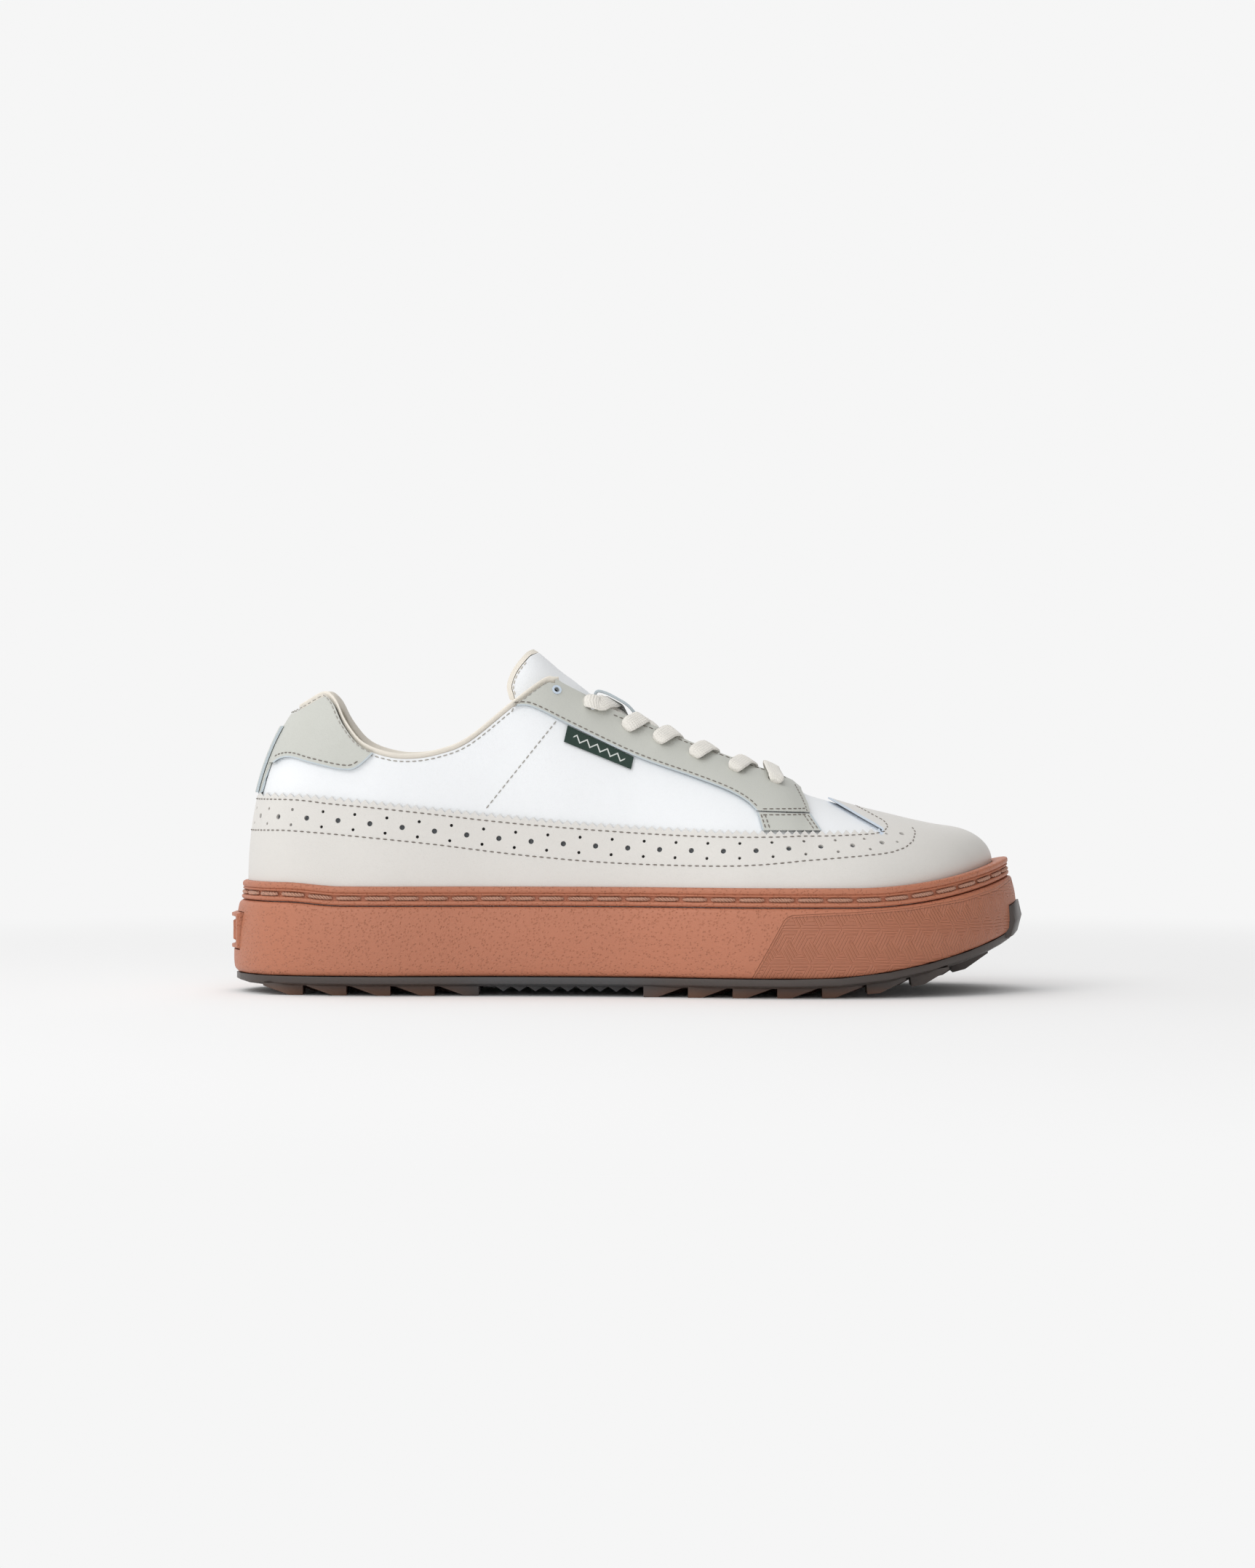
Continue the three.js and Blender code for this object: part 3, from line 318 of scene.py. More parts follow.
UPPER_STITCH = smooth([[-152, 31.8], [-127, 32.0], [-113, 30.6], [-92, 28.7], [-71, 26.4], [-50, 24.1],
                       [-14, 20.9], [29, 18.5], [70, 18.3], [92, 18.7]], 40)
LOWER_STITCH = smooth([[-152, 19.8], [-134, 20.6], [-124, 20.3], [-103, 18.6], [-75, 15.8], [-46, 12.3],
                       [-14, 9.3], [14.7, 8.1], [43, 8], [70, 10], [97, 12.1], [104, 14.4]], 40)
PERFORATIONS = smooth([[-150, 25.9], [-125, 25.6], [-102, 23.9], [-77, 21.1], [-53, 18.4], [-28, 16.2],
                       [8, 14], [42, 13.3], [66, 14.4], [88, 15], [98, 16.1], [104.6, 19.1]], 40)


def on_side(x, rise, side, depth=0.0):
    """u and t of the upper over (x, rise) of the side view, lateral (-1) or medial (1)."""
    x, z = np.asarray(x, float), SOLE_HEIGHT + np.asarray(rise, float)
    h, t = np.clip((x + 152.5) / 305, 0.02, 0.98), np.full(x.shape, 0.5)

    def at(a, b):
        return skin(a / 2 if side < 0 else 1 - a / 2, b, depth)

    for _ in range(40):
        p = at(h, t)
        dh, dt = (at(h + 1e-4, t) - p) * 1e4, (at(h, t + 1e-4) - p) * 1e4
        ex, ez = x - p[..., 0], z - p[..., 2]
        det = dh[..., 0] * dt[..., 2] - dh[..., 2] * dt[..., 0]
        h = np.clip(h + 0.7 * (ex * dt[..., 2] - ez * dt[..., 0]) / det, 0.005, 0.995)
        t = np.clip(t + 0.7 * (ez * dh[..., 0] - ex * dh[..., 2]) / det, 0, 0.99)
    return (h / 2 if side < 0 else 1 - h / 2), t


def on_line(u, line):
    """t where the station u of the upper meets a side-view line that is a height over x."""
    low, high = np.zeros(u.shape), np.full(u.shape, 0.97)
    for _ in range(30):
        middle = (low + high) / 2
        p = skin(u, middle)
        below = p[..., 2] - SOLE_HEIGHT < np.interp(p[..., 0], line[:, 0], line[:, 1])
        low, high = np.where(below, middle, low), np.where(below, high, middle)
    return (low + high) / 2


# Meshes

def mesh_object(name, points, faces):
    mesh = bpy.data.meshes.new(name)
    mesh.from_pydata([tuple(p) for p in points], [], [tuple(int(i) for i in f) for f in faces])
    mesh.validate()
    obj = bpy.data.objects.new(name, mesh)
    bpy.context.scene.collection.objects.link(obj)
    return obj


def outwards(obj):
    form = bmesh.new()
    form.from_mesh(obj.data)
    bmesh.ops.recalc_face_normals(form, faces=form.faces)
    if form.calc_volume(signed=True) < 0:
        bmesh.ops.reverse_faces(form, faces=form.faces)
    form.to_mesh(obj.data)
    form.free()
    return obj


def soften(obj, angle=35):
    """Smooth shading, except over edges sharper than the angle."""
    obj.data.shade_smooth()
    obj.data.set_sharp_from_angle(angle=math.radians(angle))
    return obj


def settled(obj):
    """The object with its modifiers turned into plain mesh."""
    graph = bpy.context.evaluated_depsgraph_get()
    mesh = bpy.data.meshes.new_from_object(obj.evaluated_get(graph))
    obj.modifiers.clear()
    obj.data = mesh
    mesh.name = obj.name
    return obj


def away_with(*objects):
    for obj in objects:
        bpy.data.objects.remove(obj)


def carved(obj, tools, operation="DIFFERENCE"):
    for tool in tools:
        step = obj.modifiers.new("carve", "BOOLEAN")
        step.operation, step.object, step.solver = operation, tool, "MANIFOLD"
    return settled(obj)


def lofted(name, rings, closed=False):
    """Joins rings of points round the shoe; open stacks are zipped shut across it at both ends."""
    rings = np.array(rings)
    rows, count, _ = rings.shape
    i = np.arange(count)
    following = (i + 1) % count
    faces = []
    for r in range(rows if closed else rows - 1):
        a, b = r * count, (r + 1) % rows * count
        faces += list(np.stack([a + i, a + following, b + following, b + i], 1))
    if not closed:
        for start in (0, (rows - 1) * count):
            for k in range(count // 2):
                loop = [k, k + 1, (count - k - 1) % count, (count - k) % count]
                faces.append([start + i for i in dict.fromkeys(loop)])
    return outwards(mesh_object(name, placed(rings.reshape(-1, 3)), faces))


STATIONS = np.arange(300) / 300
LEVELS = np.concatenate([np.linspace(0, 0.9, 40)[1:], [0.93, 0.955, 0.975, 0.988]])


def layer(name, inner, outer, tuck=UPPER_TUCK):
    """A closed layer of the upper between two depths, each a number or a function of x."""
    x = edge(STATIONS)[:, 0]
    inside = inner(x) if callable(inner) else np.full(x.shape, float(inner))
    outside = outer(x) if callable(outer) else np.full(x.shape, float(outer))
    levels = [-1, -0.5, 0, *LEVELS]
    up = [skin(STATIONS, t, outside, tuck) for t in levels]
    down = [skin(STATIONS, t, inside, tuck) for t in levels[::-1]]
    return lofted(name, [*down, *up])


def block(outline, low=-90.0, high=90.0):
    """A solid with a side-view outline, between two y."""
    flat = np.array(outline, float)
    count = len(flat)
    points = [[x, y, SOLE_HEIGHT + rise] for y in (low, high) for x, rise in flat]
    i = np.arange(count)
    walls = np.stack([i, (i + 1) % count, count + (i + 1) % count, count + i], 1)
    return outwards(mesh_object("block", placed(points), [*walls, list(i), list(count + i[::-1])]))


def cuboid(x0, x1, y0, y1, z0, z1):
    return block([[x0, z0 - SOLE_HEIGHT], [x1, z0 - SOLE_HEIGHT], [x1, z1 - SOLE_HEIGHT],
                  [x0, z1 - SOLE_HEIGHT]], y0, y1)


def pinked(line, start, end):
    """A side-view line cut in zigzag teeth between two x."""
    along = lengths(line)
    across = np.gradient(line, axis=0)
    across /= np.linalg.norm(across, axis=1, keepdims=True)
    stops = np.arange(0, along[-1], TEETH_PITCH / 2)
    out = []
    for k, s in enumerate(stops):
        p = np.array([np.interp(s, along, line[:, j]) for j in (0, 1)])
        d = np.array([np.interp(s, along, across[:, j]) for j in (0, 1)])
        if start < p[0] < end:
            out.append(p + np.array([-d[1], d[0]]) * TEETH_HEIGHT * (k % 2))
    return np.array(out)


# Geometry Nodes

def tree_of(name, sizes, material):
    """An empty tree with named inputs, and its ending in Realize Instances and Set Material."""
    tree = bpy.data.node_groups.new(name, "GeometryNodeTree")
    tree.interface.new_socket("Geometry", in_out="INPUT", socket_type="NodeSocketGeometry")
    for label, value in sizes.items():
        socket = tree.interface.new_socket(label, in_out="INPUT", socket_type="NodeSocketFloat")
        socket.default_value = value
    tree.interface.new_socket("Geometry", in_out="OUTPUT", socket_type="NodeSocketGeometry")
    start, end = tree.nodes.new("NodeGroupInput"), tree.nodes.new("NodeGroupOutput")
    realize, paint = tree.nodes.new("GeometryNodeRealizeInstances"), tree.nodes.new("GeometryNodeSetMaterial")
    paint.inputs["Material"].default_value = material
    tree.links.new(realize.outputs[0], paint.inputs["Geometry"])
    tree.links.new(paint.outputs[0], end.inputs[0])
    return tree, start, realize


def wired(tree, kind, links, **settings):
    node = tree.nodes.new(kind)
    for key, value in settings.items():
        setattr(node, key, value)
    for key, value in links.items():
        if isinstance(value, bpy.types.NodeSocket):
            tree.links.new(value, node.inputs[key])
        else:
            node.inputs[key].default_value = value
    return node


def rows_of_parts(name, material, part, sizes):
    """A tree that sets a small part on each point, along its "run" and standing on its "up"."""
    tree, start, realize = tree_of(name, sizes, material)
    shape = part(tree, start)
    run = wired(tree, "GeometryNodeInputNamedAttribute", {"Name": "run"}, data_type="FLOAT_VECTOR")
    up = wired(tree, "GeometryNodeInputNamedAttribute", {"Name": "up"}, data_type="FLOAT_VECTOR")
    stood = wired(tree, "FunctionNodeAlignRotationToVector", {"Vector": up.outputs[0]}, axis="Z")
    turned = wired(tree, "FunctionNodeAlignRotationToVector",
                   {"Rotation": stood.outputs[0], "Vector": run.outputs[0]}, axis="X", pivot_axis="Z")
    stand = wired(tree, "GeometryNodeInstanceOnPoints",
                  {"Points": start.outputs["Geometry"], "Instance": shape, "Rotation": turned.outputs[0]})
    tree.links.new(stand.outputs[0], realize.inputs[0])
    return tree


def capsule(tree, start):
    """A stitch: a short thread, thickest in the middle, sunk at both ends."""
    ball = wired(tree, "GeometryNodeMeshIcoSphere", {"Radius": 1.0, "Subdivisions": 2})
    size = wired(tree, "ShaderNodeCombineXYZ", {"X": start.outputs["Half length"],
                                                "Y": start.outputs["Half width"],
                                                "Z": start.outputs["Half height"]})
    return wired(tree, "GeometryNodeTransform", {"Geometry": ball.outputs["Mesh"],
                                                 "Scale": size.outputs[0]}).outputs[0]


def pin(tree, start):
    """A punch: a cylinder across the leather."""
    return wired(tree, "GeometryNodeMeshCylinder", {"Vertices": 20, "Radius": start.outputs["Radius"],
                                                    "Depth": start.outputs["Depth"]}).outputs["Mesh"]


def twisted_stitch(tree, start):
    """A saddle stitch: three strands wound round each other, pulled in at both ends."""
    line = wired(tree, "GeometryNodeCurvePrimitiveLine", {"Start": (-1.0, 0, 0), "End": (1.0, 0, 0)})
    fine = wired(tree, "GeometryNodeResampleCurve", {"Curve": line.outputs[0], "Count": 22})
    place = wired(tree, "GeometryNodeInputPosition", {})
    parts = wired(tree, "ShaderNodeSeparateXYZ", {"Vector": place.outputs[0]})
    joined = tree.nodes.new("GeometryNodeJoinGeometry")

    def sums(operation, a, b):
        return wired(tree, "ShaderNodeMath", {0: a, 1: b}, operation=operation).outputs[0]

    x = parts.outputs["X"]
    taper = sums("SUBTRACT", 1.0, sums("MULTIPLY", sums("POWER", sums("ABSOLUTE", x, 0.0), 6.0), 0.55))
    for strand in range(3):
        angle = sums("ADD", sums("MULTIPLY", x, 7.0), strand * math.tau / 3)
        radius = sums("MULTIPLY", start.outputs["Strand"], sums("MULTIPLY", taper, 0.95))
        bowed = sums("MULTIPLY", sums("SUBTRACT", 0.72, sums("POWER", sums("ABSOLUTE", x, 0.0), 4.0)),
                     start.outputs["Rise"])
        new = wired(tree, "ShaderNodeCombineXYZ", {
            "X": sums("MULTIPLY", x, start.outputs["Half length"]),
            "Y": sums("MULTIPLY", sums("COSINE", angle, 0.0), radius),
            "Z": sums("ADD", sums("MULTIPLY", sums("SINE", angle, 0.0), radius), bowed)})
        wound = wired(tree, "GeometryNodeSetPosition",
                      {"Geometry": fine.outputs[0], "Position": new.outputs[0]})
        ring = wired(tree, "GeometryNodeCurvePrimitiveCircle",
                     {"Resolution": 6, "Radius": start.outputs["Strand"]})
        thick = wired(tree, "GeometryNodeCurveToMesh",
                      {"Curve": wound.outputs[0], "Profile Curve": ring.outputs[0], "Fill Caps": True})
        tree.links.new(thick.outputs[0], joined.inputs[0])
    smooth_faces = wired(tree, "GeometryNodeSetShadeSmooth", {"Geometry": joined.outputs[0]})
    return smooth_faces.outputs[0]


def grown(name, points, run, up, tree, sizes):
    """A plain mesh of the tree's parts on these points."""
    obj = mesh_object(name, placed(points), [])
    for label, vectors in (("run", run), ("up", up)):
        field = obj.data.attributes.new(label, "FLOAT_VECTOR", "POINT")
        field.data.foreach_set("vector", np.asarray(vectors, np.float32).ravel())
    step = obj.modifiers.new(name, "NODES")
    step.node_group = tree
    for item in tree.interface.items_tree:
        if item.item_type == "SOCKET" and item.in_out == "INPUT" and item.name in sizes:
            step[item.identifier] = sizes[item.name]
    settled(obj)
    return obj


# Lines over the upper

def spaced(points, ups, pitch, closed=False):
    """Points at equal steps along a 3-D line, the line's direction at each, and the outward direction."""
    p, n = np.asarray(points, float), np.asarray(ups, float)
    if closed:
        p, n = np.vstack([p, p[:1]]), np.vstack([n, n[:1]])
    along = lengths(p)
    count = max(2, round(along[-1] / pitch))
    stops = (np.arange(count) + 0.5) / count * along[-1]

    def at(values, s):
        return np.stack([np.interp(s, along, values[:, k]) for k in range(3)], 1)

    run = at(p, stops + 0.05) - at(p, stops - 0.05)
    return at(p, stops), run / np.maximum(np.linalg.norm(run, axis=1, keepdims=True), 1e-9), at(n, stops)


def fine(points):
    """A polyline with points about a millimetre apart."""
    p = np.asarray(points, float)
    along = lengths(p)
    stops = np.linspace(0, along[-1], max(2, int(along[-1]) + 1))
    return np.stack([np.interp(stops, along, p[:, k]) for k in range(p.shape[1])], 1)


def drawn(line, side, depth):
    """A side-view line laid on one side of the upper at a depth, with the outward direction."""
    p = fine(line)
    u, t = on_side(p[:, 0], p[:, 1], side, depth)
    return skin(u, t, depth), skin_up(u, t)


# Finishes

class Wire:
    """A socket of a finish; arithmetic on it adds Math nodes."""

    def __init__(self, finish, socket):
        self.finish, self.socket = finish, socket

    def _with(self, operation, *values):
        return self.finish.node("ShaderNodeMath", {"operation": operation}, dict(enumerate(values)))

    def __add__(self, other):
        return self._with("ADD", self, other)

    def __sub__(self, other):
        return self._with("SUBTRACT", self, other)

    def __rsub__(self, other):
        return self._with("SUBTRACT", other, self)

    def __mul__(self, other):
        return self._with("MULTIPLY", self, other)

    def __truediv__(self, other):
        return self._with("DIVIDE", self, other)

    __radd__, __rmul__ = __add__, __mul__

    def sine(self):
        return self._with("SINE", self)

    def floor(self):
        return self._with("FLOOR", self)

    def modulo(self, other):
        return self._with("FLOORED_MODULO", self, other)

    def size(self):
        return self._with("ABSOLUTE", self)

    def equals(self, other):
        return self._with("COMPARE", self, other, 0.5)

    def ramp(self, low, high, bottom=0.0, top=1.0):
        return self.finish.node("ShaderNodeMapRange", {"interpolation_type": "SMOOTHSTEP"}, {
            "Value": self, "From Min": low, "From Max": high, "To Min": bottom, "To Max": top})


class Finish:
    """A procedural material on one Principled shader."""

    def __init__(self, name, **fixed):
        self.material = bpy.data.materials.new(name)
        self.material.use_nodes = True
        self.tree = self.material.node_tree
        self.shader = self.tree.nodes["Principled BSDF"]
        for key, value in fixed.items():
            self.socket(key).default_value = value
        self.place = self.node("ShaderNodeTexCoord", {}, {}, "Object")

    def socket(self, key):
        wanted = key.replace("_", " ").lower()
        return next(socket for socket in self.shader.inputs if socket.name.lower() == wanted)

    def node(self, kind, settings, sockets, output=0):
        made = self.tree.nodes.new(kind)
        for key, value in settings.items():
            setattr(made, key, value)
        for key, value in sockets.items():
            if isinstance(value, Wire):
                self.tree.links.new(value.socket, made.inputs[key])
            else:
                made.inputs[key].default_value = value
        return Wire(self, made.outputs[output])

    def noise(self, scale, detail=2.0, place=None):
        return self.node("ShaderNodeTexNoise", {},
                         {"Vector": place or self.place, "Scale": scale, "Detail": detail})

    def cells(self, scale, feature="F1", place=None):
        return self.node("ShaderNodeTexVoronoi", {"feature": feature},
                         {"Vector": place or self.place, "Scale": scale}, "Distance")

    def axes(self, vector=None):
        return [self.node("ShaderNodeSeparateXYZ", {}, {0: vector or self.place}, k) for k in range(3)]

    def strip_place(self):
        return self.node("ShaderNodeUVMap", {"uv_map": "strip"}, {})

    def field(self, name):
        return self.node("ShaderNodeAttribute", {"attribute_name": name}, {}, "Fac")

    def blend(self, factor, one, other):
        made = self.tree.nodes.new("ShaderNodeMix")
        made.data_type = "RGBA"
        for key, value in ((0, factor), (6, one), (7, other)):
            if isinstance(value, Wire):
                self.tree.links.new(value.socket, made.inputs[key])
            elif key == 0:
                made.inputs[key].default_value = value
            else:
                made.inputs[key].default_value = (*value, 1)
        return Wire(self, made.outputs[2])

    def set(self, **values):
        for key, value in values.items():
            self.tree.links.new(value.socket, self.socket(key))
        return self

    def relief(self, height, distance, strength=1.0):
        bump = self.node("ShaderNodeBump", {}, {"Height": height, "Distance": distance, "Strength": strength})
        return self.set(normal=bump)


def srgb(r, g, b):
    """A display colour, 0 to 255, as linear light."""
    return tuple(((c / 255 + 0.055) / 1.055) ** 2.4 if c > 10 else c / 255 / 12.92 for c in (r, g, b))


def darker(colour, share):
    return tuple(c * share for c in colour)


RAW_BLUE = srgb(206, 219, 234)
CUT_REACH = 6.0     # millimetres from a cut edge within which the "cut" attribute is above nought


def leather(name, colour, grain=1.0, cut=RAW_BLUE):
    """Smooth grain leather: pores and fine creases, a little uneven in tone, pale where it is cut."""
    f = Finish(name, roughness=0.45, specular_ior_level=0.42, coat_weight=0.06)
    tone = f.noise(22, 3)
    pores = f.cells(1500)
    creases = f.noise(620, 4)
    mottled = f.blend(tone.ramp(0.3, 0.7), darker(colour, 0.965), colour)
    tinted = f.blend(pores.ramp(0.05, 0.45, 0.22, 0.0), mottled, darker(colour, 0.9))
    raw = f.field("cut").ramp(CUT_REACH - 1.1, CUT_REACH - 0.6)
    f.set(base_color=f.blend(raw * 0.85, tinted, cut),
          roughness=0.40 + tone * 0.10 + creases * 0.06 + raw * 0.3)
    height = pores.ramp(0.0, 0.5) * 0.55 + creases * 0.7 + f.noise(2600, 2) * 0.25
    return f.relief(height * (1 - raw * 0.6), 0.00007 * grain).material


def raw_edge():
    """The pale cut edge and flesh side of leather: fibrous and matt."""
    f = Finish("raw_edge", roughness=0.85)
    fibres = f.noise(2400, 3)
    f.set(base_color=f.blend(fibres.ramp(0.3, 0.7), srgb(196, 208, 221), RAW_BLUE))
    return f.relief(fibres, 0.00008).material


PATCH_WIDTH, PATCH_HEIGHT, DASH_PITCH = 0.0077, 0.0088, 0.0012


def gum_rubber():
    """Moulded gum rubber: fine leather grain, and short dashes in three directions on the toe panel."""
    f = Finish("gum_rubber", roughness=0.5, specular_ior_level=0.4)
    colour = srgb(185, 118, 90)
    tone = f.noise(14, 3)
    grain = f.cells(950)
    fine_grain = f.noise(1800, 3)
    run, up, _ = f.axes(f.strip_place())
    p, q = run / PATCH_WIDTH + up / PATCH_HEIGHT, run / PATCH_WIDTH - up / PATCH_HEIGHT
    turn = (p.floor() + q.floor() * 2).modulo(3)
    dashes = None
    for k, angle in enumerate((0, 62, -62)):
        a, rate = math.radians(angle), math.tau / DASH_PITCH
        wave = (run * (math.sin(a) * rate) + up * (math.cos(a) * rate)).sine()
        part = wave * turn.equals(float(k))
        dashes = part if dashes is None else dashes + part
    patch, other = (((v - v.floor() - 0.5).size() * 2).ramp(0.80, 0.97, 1, 0) for v in (p, q))
    edges = patch * other
    panel = f.field("panel").ramp(0.0, 0.4)
    groove = f.field("panel").size().ramp(0.25, 0.6, 1, 0)
    plain = f.blend(tone.ramp(0.3, 0.7), darker(colour, 0.93), colour)
    pitted = f.blend(grain.ramp(0.02, 0.35, 0.3, 0.0), plain, darker(colour, 0.78))
    dashed = dashes.ramp(-0.3, 0.9) * (edges * 0.4 + 0.6)
    f.set(base_color=f.blend(panel * (1 - dashed) * 0.2, pitted, darker(colour, 0.62)),
          roughness=0.40 + tone * 0.12)
    plain_height = (grain.ramp(0.0, 0.45) + fine_grain * 0.5) * (1 - panel * 0.8)
    return f.relief(plain_height + dashed * panel * 1.6 - groove * 2, 0.00026).material


def dark_rubber():
    """Outsole rubber: charcoal under the arch, dark translucent brown at the lugs."""
    f = Finish("dark_rubber", roughness=0.42, specular_ior_level=0.5)
    x, _, z = f.axes()
    haze = f.noise(60, 3)
    arch = (x + 0.027).size().ramp(0.02, 0.05, 1, 0)
    tips = z.ramp(0.0005, 0.0055, 1, 0)
    brown = f.blend(tips * 0.8 + haze * 0.1, srgb(64, 58, 55), srgb(106, 74, 56))
    f.set(base_color=f.blend(arch, brown, srgb(66, 66, 67)), roughness=0.34 + haze * 0.2)
    return f.relief(f.noise(900, 3) + haze * 0.4, 0.00010).material


def thread(name, colour, pitch=0.0007):
    """Waxed thread: fine slanted twist lines."""
    f = Finish(name, roughness=0.5, sheen_weight=0.15)
    x, y, z = f.axes()
    twist = ((x + z * 0.8 + y * 0.5) * (math.tau / pitch)).sine()
    f.set(base_color=f.blend(twist.ramp(-1, 1), darker(colour, 0.72), colour))
    return f.relief(twist, 0.00006).material


def lining_cloth(name, colour, scale=1.0):
    """Fine knitted cloth: small raised loops in staggered rows."""
    f = Finish(name, roughness=0.86, sheen_weight=0.2)
    x, y, z = f.axes()
    pitch = math.tau / (0.0009 * scale)
    loops = ((x + y * 0.6) * pitch).sine() * ((z + y * 0.3 + x * 0.02) * pitch).sine()
    soft = f.noise(40, 3)
    base = f.blend(soft.ramp(0.3, 0.7), darker(colour, 0.94), colour)
    f.set(base_color=f.blend(loops.ramp(-1, 1, 0.35, 0), base, darker(colour, 0.75)))
    return f.relief(loops, 0.00009).material


def binding_tape():
    """Rolled cream binding: soft leather with a cloth-like grain."""
    colour = srgb(236, 229, 217)
    f = Finish("binding_tape", roughness=0.62, sheen_weight=0.1)
    grain = f.noise(1500, 4)
    tone = f.noise(30, 3)
    f.set(base_color=f.blend(tone.ramp(0.3, 0.7) * 0.6 + grain * 0.3, darker(colour, 0.92), colour))
    return f.relief(grain, 0.00012).material


def lace_weave():
    """Flat woven cotton: slanted ribs that meet in the middle, and a tighter edge."""
    colour = srgb(238, 234, 226)
    f = Finish("lace_weave", roughness=0.8, sheen_weight=0.25)
    run, across, _ = f.axes(f.strip_place())
    ribs = (run * (math.tau / 0.0011) + across.size() * 9.0).sine()
    warp = (across * math.tau * 7).sine()
    weave = ribs.ramp(-1, 1) * 0.65 + warp.ramp(-1, 1) * 0.35
    tone = f.noise(60, 3)
    base = f.blend(tone.ramp(0.3, 0.7), darker(colour, 0.95), colour)
    f.set(base_color=f.blend(weave.ramp(0.0, 0.6, 0.4, 0.0), base, darker(colour, 0.78)))
    return f.relief(weave, 0.00018).material


def label_weave():
    """Dark green woven label with one plain light zigzag along it."""
    colour = srgb(28, 58, 47)
    f = Finish("label_weave", roughness=0.75, sheen_weight=0.2)
    x, _, z = f.axes()
    ends = np.array(LABEL).reshape(2, 2, 2).mean(axis=1) + [0, SOLE_HEIGHT]
    (x0, z0), (x1, z1) = (ends / 1000).tolist()
    length = math.hypot(x1 - x0, z1 - z0)
    c, d = (x1 - x0) / length, (z1 - z0) / length
    run, up = (x - x0) * c + (z - z0) * d, (z - z0) * c - (x - x0) * d
    fold = ((run / 0.0042).modulo(1.0) - 0.5).size() * 2 - 0.5
    line = (up - fold * 0.0022).size().ramp(0.00028, 0.00042, 1, 0) * (run - length / 2).size().ramp(
        length / 2 - 0.0034, length / 2 - 0.003, 1, 0)
    twill = ((x + z * 1.3) * (math.tau / 0.0006)).sine()
    base = f.blend(twill.ramp(-1, 1, 0, 0.5), darker(colour, 0.75), colour)
    f.set(base_color=f.blend(line * 0.9, base, srgb(226, 230, 226)))
    return f.relief(twill * 0.5 + line * 2, 0.00008).material


def cell_foam(name, colour):
    """Open-cell foam or felted board: pitted and matt."""
    f = Finish(name, roughness=0.95)
    pits = f.cells(900)
    tone = f.noise(50, 3)
    base = f.blend(tone.ramp(0.3, 0.7), darker(colour, 0.93), colour)
    f.set(base_color=f.blend(pits.ramp(0.05, 0.4, 0.5, 0), base, darker(colour, 0.7)))
    return f.relief(pits, 0.0003).material


def studio_floor():
    """Pale floor that fades into the light round it."""
    f = Finish("studio_floor", roughness=0.95, specular_ior_level=0.0, emission_strength=1.0)
    x, y, _ = f.axes()
    far = (x * x + y * y).ramp(0.06, 0.45)
    haze = f.noise(3, 2)
    near = f.blend(haze, (0.91, 0.91, 0.91), (0.92, 0.92, 0.92))
    light = tuple([STUDIO_LIGHT] * 3)
    f.set(base_color=f.blend(far, near, (0, 0, 0)), emission_color=f.blend(far, (0, 0, 0), light))
    return f.material


STUDIO_LIGHT = 0.921
WHITE = leather("white_leather", srgb(240, 242, 244), 0.8)
GREY = leather("grey_leather", srgb(221, 218, 213), 1.0)
SAGE = leather("sage_leather", srgb(198, 199, 192), 1.1, srgb(190, 201, 208))
RAW = raw_edge()
GUM = gum_rubber()
DARK = dark_rubber()
SEAM = thread("seam_thread", srgb(132, 124, 116))
SOFT_SEAM = thread("soft_seam_thread", srgb(182, 178, 170))
CREAM_SEAM = thread("cream_thread", srgb(226, 218, 204))
WELT_THREAD = thread("welt_thread_twist", srgb(196, 146, 122), 0.0011)
CLOTH = lining_cloth("lining_cloth", srgb(228, 222, 208))
SOCK = lining_cloth("sock_cloth", srgb(214, 208, 196), 1.3)
TAPE = binding_tape()
WEAVE = lace_weave()
LABEL_CLOTH = label_weave()
FOAM = cell_foam("foam", srgb(236, 228, 204))
BOARD = cell_foam("board", srgb(214, 206, 188))
# Painted shade for the punched holes: cloth-grained finishes, mid grey for the large holes and near black for
# the small ones, put on discs under them in place of the shade inside the holes
LARGE_HOLE_SHADE = lining_cloth("large_hole_painted_shade", srgb(104, 108, 112), 0.5)
SMALL_HOLE_SHADE = lining_cloth("small_hole_painted_shade", srgb(34, 34, 34), 0.5)


# Pieces

def finished(obj, body, finish, replaces=(), angle=35):
    """Shaded, painted, riding on its body, and standing for its CAD nodes."""
    soften(obj, angle)
    obj.data.materials.clear()
    obj.data.materials.append(finish)
    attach(obj, body)
    if replaces:
        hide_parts(*replaces)
    return obj


def named(obj, name):
    obj.name = obj.data.name = name
    return obj


def kept_copy(node, name):
    """A merged copy of a CAD node's mesh, its flat faces made whole."""
    obj = bpy.data.objects.new(name, frame["nodes"][node].data.copy())
    bpy.context.scene.collection.objects.link(obj)
    obj.data.materials.clear()
    form = bmesh.new()
    form.from_mesh(obj.data)
    bmesh.ops.remove_doubles(form, verts=form.verts, dist=1e-6)
    bmesh.ops.dissolve_limit(form, angle_limit=math.radians(0.6), verts=form.verts, edges=form.edges)
    form.to_mesh(obj.data)
    form.free()
    return obj


def rounded(obj, width, segments=2, angle=35):
    step = obj.modifiers.new("round", "BEVEL")
    step.width, step.segments, step.limit_method = width * 0.001, segments, "ANGLE"
    step.angle_limit = math.radians(angle)
    step.use_clamp_overlap = True
    return settled(obj)


def side_distance(points, line):
    """Distance in the side view from each point to a polyline, in millimetres."""
    p = np.stack([points[:, 0] * 1000, points[:, 2] * 1000 - SOLE_HEIGHT], 1)
    line = np.asarray(line, float)
    best = np.full(len(p), 1e9)
    for a, b in zip(line[:-1], line[1:]):
        d = b - a
        s = np.clip(((p - a) @ d) / max(d @ d, 1e-9), 0, 1)
        best = np.minimum(best, np.linalg.norm(p - a - s[:, None] * d, axis=1))
    return best


